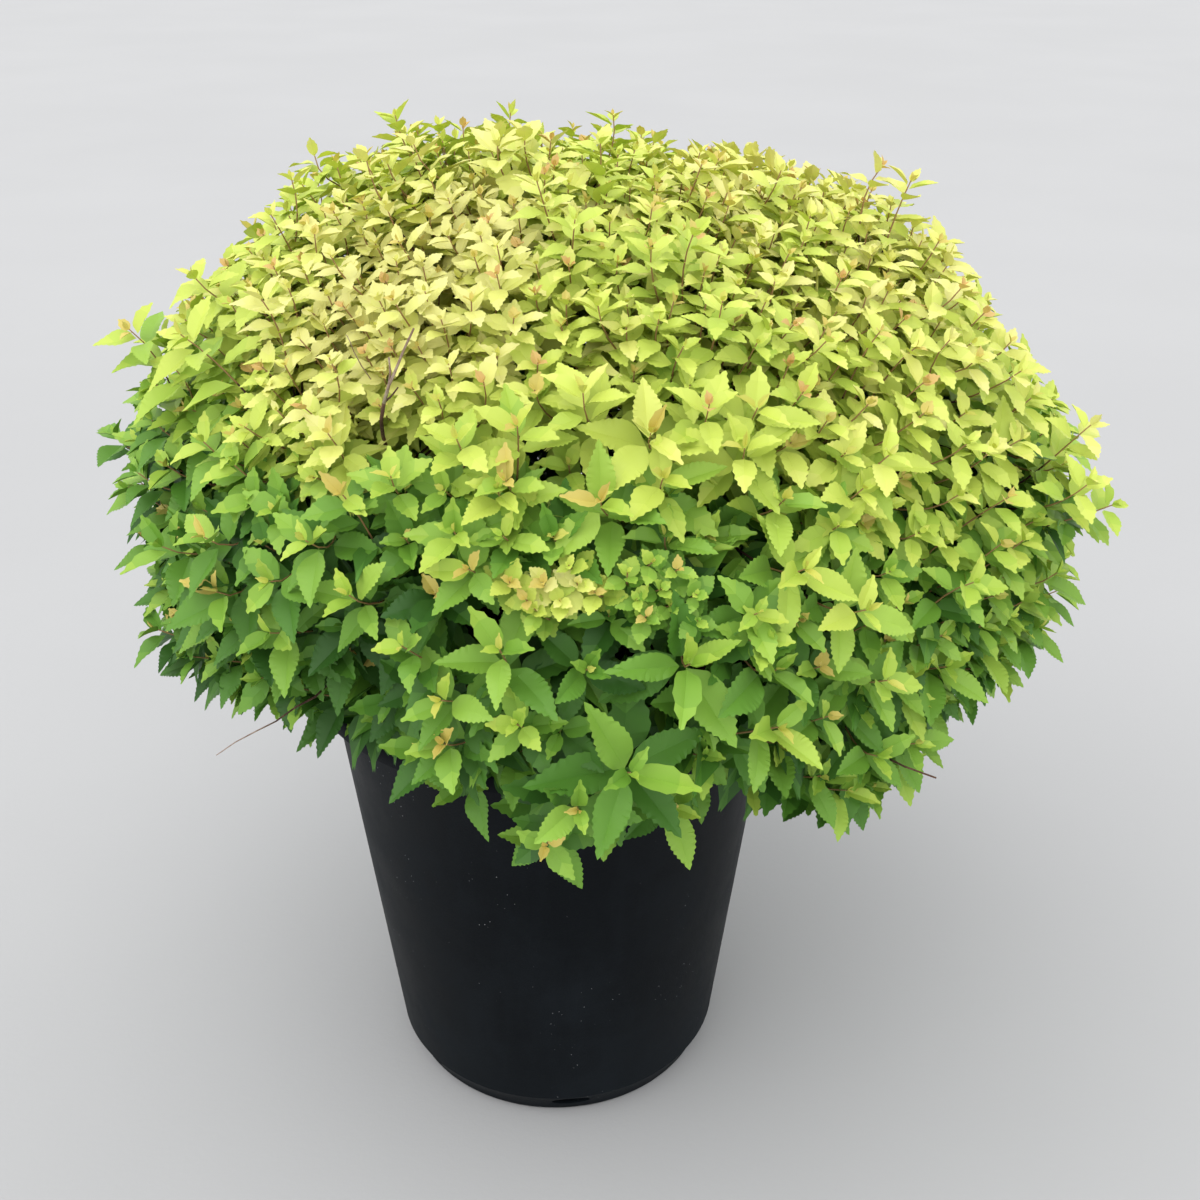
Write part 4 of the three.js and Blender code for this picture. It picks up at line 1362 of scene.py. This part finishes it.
def shade_leaves(grown, limbs, settings):
    """Old dark leaves on the lower twigs and limbs, turned every way, that close the crown; their tone is
    painted shade, lighter near the surface and towards open sky.
    """
    random = np.random.default_rng(5)
    on_shoots = np.repeat(grown.controls, OLD_ON_SHOOT, axis=0)
    curves = np.concatenate([on_shoots, np.repeat(limbs, OLD_ON_LIMB, axis=0)])
    count = len(curves)
    on_twigs = np.arange(count) < len(on_shoots)
    share = np.where(on_twigs, random.uniform(0.0, 0.7, count), random.uniform(0.1, 1.0, count))
    root = bezier(curves, share)
    outward = unit(root - CROWN_CENTRE)
    forward = unit(random.normal(0, 1, (count, 3)) + outward * 0.5)
    light = unit(UP * 0.6 + outward * 0.8 + random.normal(0, 0.3, (count, 3)))
    face = unit(light - dots(light, forward) * forward)
    size = settings.leaf_length * random.uniform(0.75, 1.1, count)
    width = size * settings.leaf_width * 1.15
    tip = root + forward * size[:, None]
    reach = np.linalg.norm(tip - CROWN_CENTRE, axis=1) / crown_reach(unit(tip - CROWN_CENTRE))
    # Painted shade and light: these leaves are darker deep in the crown, and lighter near its surface and
    # where they face open sky.
    open_sky = smooth(outward[:, 2], 0.2, 0.7)
    tone = random.normal(0.07, 0.05, count) + 0.18 * open_sky
    tone = tone + (0.1 + 0.48 * open_sky) * smooth(reach, 0.5, 0.88)
    tone = np.clip(tone, 0, 1)
    keep = clear_of_pot(tip, 2 * MM) & clear_of_pot(root, 2 * MM) & (reach < 0.93)
    keep &= ~in_hollow(outward) | (reach < 0.8)
    parts = (root, forward, np.cross(face, forward), face, size, width, tone, np.full(count, SHADE))
    return [[part[keep] for part in parts]]


def joined(rows):
    """All rows of leaves as one namespace of long arrays."""
    return SimpleNamespace(**{name: np.concatenate(part) for name, part in zip(LEAF_PARTS, zip(*rows))})


def leaf_mesh(leaves, which, kinds, paler):
    """Joined points, triangles and paleness, counted in half tones, of the leaves picked by which."""
    points, triangles, paleness, start = [], [], [], 0
    chosen = np.flatnonzero(which)
    for group, blades in enumerate(kinds):
        for number, (shape, faces, ridges) in enumerate(blades):
            mine = chosen[(leaves.kind[chosen] == group) & (chosen % len(blades) == number)]
            size, width = leaves.size[mine, None, None], leaves.width[mine, None, None]
            x, y, z = (shape[None, :, i:i + 1] for i in range(3))
            placed = (
                leaves.root[mine, None]
                + x * size * leaves.forward[mine, None]
                + y * width * leaves.across[mine, None]
                + z * size * leaves.face[mine, None]
            )
            points.append(placed.reshape(-1, 3))
            shift = start + np.arange(len(mine)) * len(shape)
            triangles.append((faces[None] + shift[:, None, None]).reshape(-1, 3))
            paleness.append((paler[mine, None] + 1 * ridges[None]).reshape(-1))
            start += len(mine) * len(shape)
    return np.concatenate(points), np.concatenate(triangles), np.concatenate(paleness)


def lines_along(curves, shares):
    """Points at the same shares of many curves: (curves, shares, 3)."""
    return np.stack([bezier(curves, share) for share in shares], axis=1)


def foliage_nodes():
    """The names of the solids that twigs and leaves stand for."""
    return ["foliage_" + mass.name for mass in masses()]


def leafy_wood(grown, limbs, all_masses, wood):
    """Limbs, the leaders that carry the boughs on to them, and the twigs of all shoots."""
    ripe = plain("twig_bark", wood.twig, 0.7, 0.3)
    green_wood = plain("young_twig_bark", wood.young, 0.6, 0.35)
    shares = np.linspace(0, 1, 9)
    lines = lines_along(limbs, shares)
    limb_wood = tube_piece("limbs", lines, mix(LIMB_FOOT, LIMB_TIP, shares), 7, ripe)
    finished(limb_wood, [], "bark", *foliage_nodes())
    ends = [CROWN_CENTRE + mass.way * mass.reach * LEADER_REACH for mass in all_masses]
    lines = np.stack([np.linspace(mass.gate, end, 9) for mass, end in zip(all_masses, ends)])
    leaders = tube_piece("leaders", lines, np.linspace(wood.bough_tip, LEADER_TIP, 9), 9, ripe)
    finished(leaders, [], "bark")
    for name, low, high, material in (("twigs", 0, 0.6, ripe), ("young_twigs", 0.6, 1, green_wood)):
        shares = np.linspace(low, high, 5)
        radii = mix(wood.twig_foot, wood.twig_tip, shares)
        finished(tube_piece(name, lines_along(grown.controls, shares), radii, 5, material), [], "bark")


def leaf_pieces(leaves, tints):
    """One piece for each tone, in three half tones, and one for each colour of bud."""
    kinds = leaf_kinds()
    bud = leaves.tone >= FIRST_BUD_TONE
    level = np.where(bud, 0, np.clip(leaves.tone, 0, 0.999)) * len(TONES)
    step = np.floor(level).astype(int)
    anchors = np.array([getattr(tints, name) for name in (*TONES, TONES[-1])])
    shades = [(anchors[n // 2] + anchors[(n + 1) // 2]) / 2 for n in range(2 * len(TONES) + 1)]
    materials = [
        plain(f"leaf_shade_{n}", shade, LEAF_ROUGHNESS, LEAF_GLOSS) for n, shade in enumerate(shades)
    ]
    for index, name in enumerate(TONES):
        points, triangles, paler = leaf_mesh(leaves, ~bud & (step == index), kinds, level % 1 > 0.5)
        trio = materials[2 * index:2 * index + 3]
        piece = mesh_piece("leaves_" + name, points, [triangles], trio, paler)
        smooth_by_angle(piece, 30)
        finished(piece, [], TONE_SLOTS[index], *foliage_nodes())
    for index, name in enumerate(BUDS):
        points, triangles, _ = leaf_mesh(leaves, leaves.tone == FIRST_BUD_TONE + index, kinds, bud)
        material = plain(name, getattr(tints, name), LEAF_ROUGHNESS, LEAF_GLOSS)
        piece = mesh_piece("leaves_" + name, points, [triangles], [material])
        smooth_by_angle(piece, 30)
        finished(piece, [], "gold_leaves", *foliage_nodes())


class SPIREA_OT_foliage(bpy.types.Operator):
    """Grows limbs, twigs and leaves on from the boughs, and joins them by kind and tone"""

    bl_idname = "spirea.foliage"
    bl_label = "Twigs and Leaves"

    def execute(self, context):
        settings = context.scene.spirea_growth
        grown, limbs, all_masses = shoots(settings)
        leafy_wood(grown, limbs, all_masses, context.scene.spirea_wood)
        leaves = joined(leaves_of(grown, settings) + shade_leaves(grown, limbs, settings))
        leaf_pieces(leaves, context.scene.spirea_leaves)
        return {"FINISHED"}


# ---- Studio --------------------------------------------------------------------------------------
# Turns are in degrees.
SKY_COLOUR = (0.97, 0.98, 1.0, 1.0)
KEY_SOFTNESS = 70
KEY_TILT = (24, -16, 0)
SENSOR_WIDTH = 36
CAMERA_PLACE = (0.027, -0.7634, 0.7068)
CAMERA_DOWN = 27.3
CAMERA_ROLL = -0.14
FLOOR_SIZE = 60


class StageSettings(bpy.types.PropertyGroup):
    floor: FloatVectorProperty(
        name="Floor", description="Pale studio floor", default=(0.5, 0.5, 0.5), subtype="COLOR"
    )
    sky: FloatProperty(name="Fill", description="Even light from all round", default=1.13)
    key: FloatProperty(name="Key", description="Soft light from above", default=1.2)
    lens: FloatProperty(name="Lens", description="Focal length", default=43.44, unit="CAMERA")


class SPIREA_OT_stage(bpy.types.Operator):
    """Lays a pale floor, and sets up soft light and the camera"""

    bl_idname = "spirea.stage"
    bl_label = "Studio"

    def execute(self, context):
        scene = context.scene
        settings = scene.spirea_stage
        bpy.ops.object.select_all(action="DESELECT")
        bpy.ops.mesh.primitive_plane_add(size=FLOOR_SIZE)
        floor = context.object
        floor.name = "studio_floor"
        floor.data.materials.append(floor_finish(settings))
        world = bpy.data.worlds.new("studio")
        world.use_nodes = True
        background = world.node_tree.nodes["Background"]
        background.inputs["Color"].default_value = SKY_COLOUR
        background.inputs["Strength"].default_value = settings.sky
        scene.world = world
        lamp = bpy.data.lights.new("soft_key", "SUN")
        lamp.energy = settings.key
        lamp.angle = math.radians(KEY_SOFTNESS)
        key = bpy.data.objects.new("soft_key", lamp)
        key.rotation_euler = [math.radians(turn) for turn in KEY_TILT]
        scene.collection.objects.link(key)
        camera = bpy.data.cameras.new("camera")
        camera.lens = settings.lens
        camera.sensor_width = SENSOR_WIDTH
        view = bpy.data.objects.new("camera", camera)
        view.location = CAMERA_PLACE
        view.rotation_euler = (math.radians(90 - CAMERA_DOWN), math.radians(CAMERA_ROLL), 0)
        scene.collection.objects.link(view)
        scene.camera = view
        scene.view_settings.view_transform = "Standard"
        return {"FINISHED"}


# ---- Panel and registration ----------------------------------------------------------------------
STEPS = (
    SPIREA_OT_pot, SPIREA_OT_soil, SPIREA_OT_wood, SPIREA_OT_bare_twigs, SPIREA_OT_foliage, SPIREA_OT_stage
)
SETTINGS = {
    "spirea_pot": PotSettings,
    "spirea_soil": SoilSettings,
    "spirea_growth": GrowthSettings,
    "spirea_wood": WoodSettings,
    "spirea_leaves": LeafSettings,
    "spirea_stage": StageSettings,
}


class SPIREA_PT_panel(bpy.types.Panel):
    """Lists the sizes, the colours and the steps that build the plant"""

    bl_idname = "SPIREA_PT_panel"
    bl_label = "Potted Spirea"
    bl_space_type = "VIEW_3D"
    bl_region_type = "UI"
    bl_category = "Spirea"

    def draw(self, context):
        for name, group in SETTINGS.items():
            box = self.layout.box()
            for setting in group.__annotations__:
                box.prop(getattr(context.scene, name), setting)
        for step in STEPS:
            self.layout.operator(step.bl_idname)


CLASSES = (*SETTINGS.values(), *STEPS, SPIREA_PT_panel)


def register():
    for each in CLASSES:
        bpy.utils.register_class(each)
    for name, group in SETTINGS.items():
        setattr(bpy.types.Scene, name, PointerProperty(type=group))


def unregister():
    for name in SETTINGS:
        delattr(bpy.types.Scene, name)
    for each in reversed(CLASSES):
        bpy.utils.unregister_class(each)


def main():
    register()
    bpy.ops.spirea.stage()
    bpy.ops.spirea.pot()
    bpy.ops.spirea.soil()
    bpy.ops.spirea.wood()
    bpy.ops.spirea.bare_twigs()
    bpy.ops.spirea.foliage()


if __name__ == "__main__":
    main()
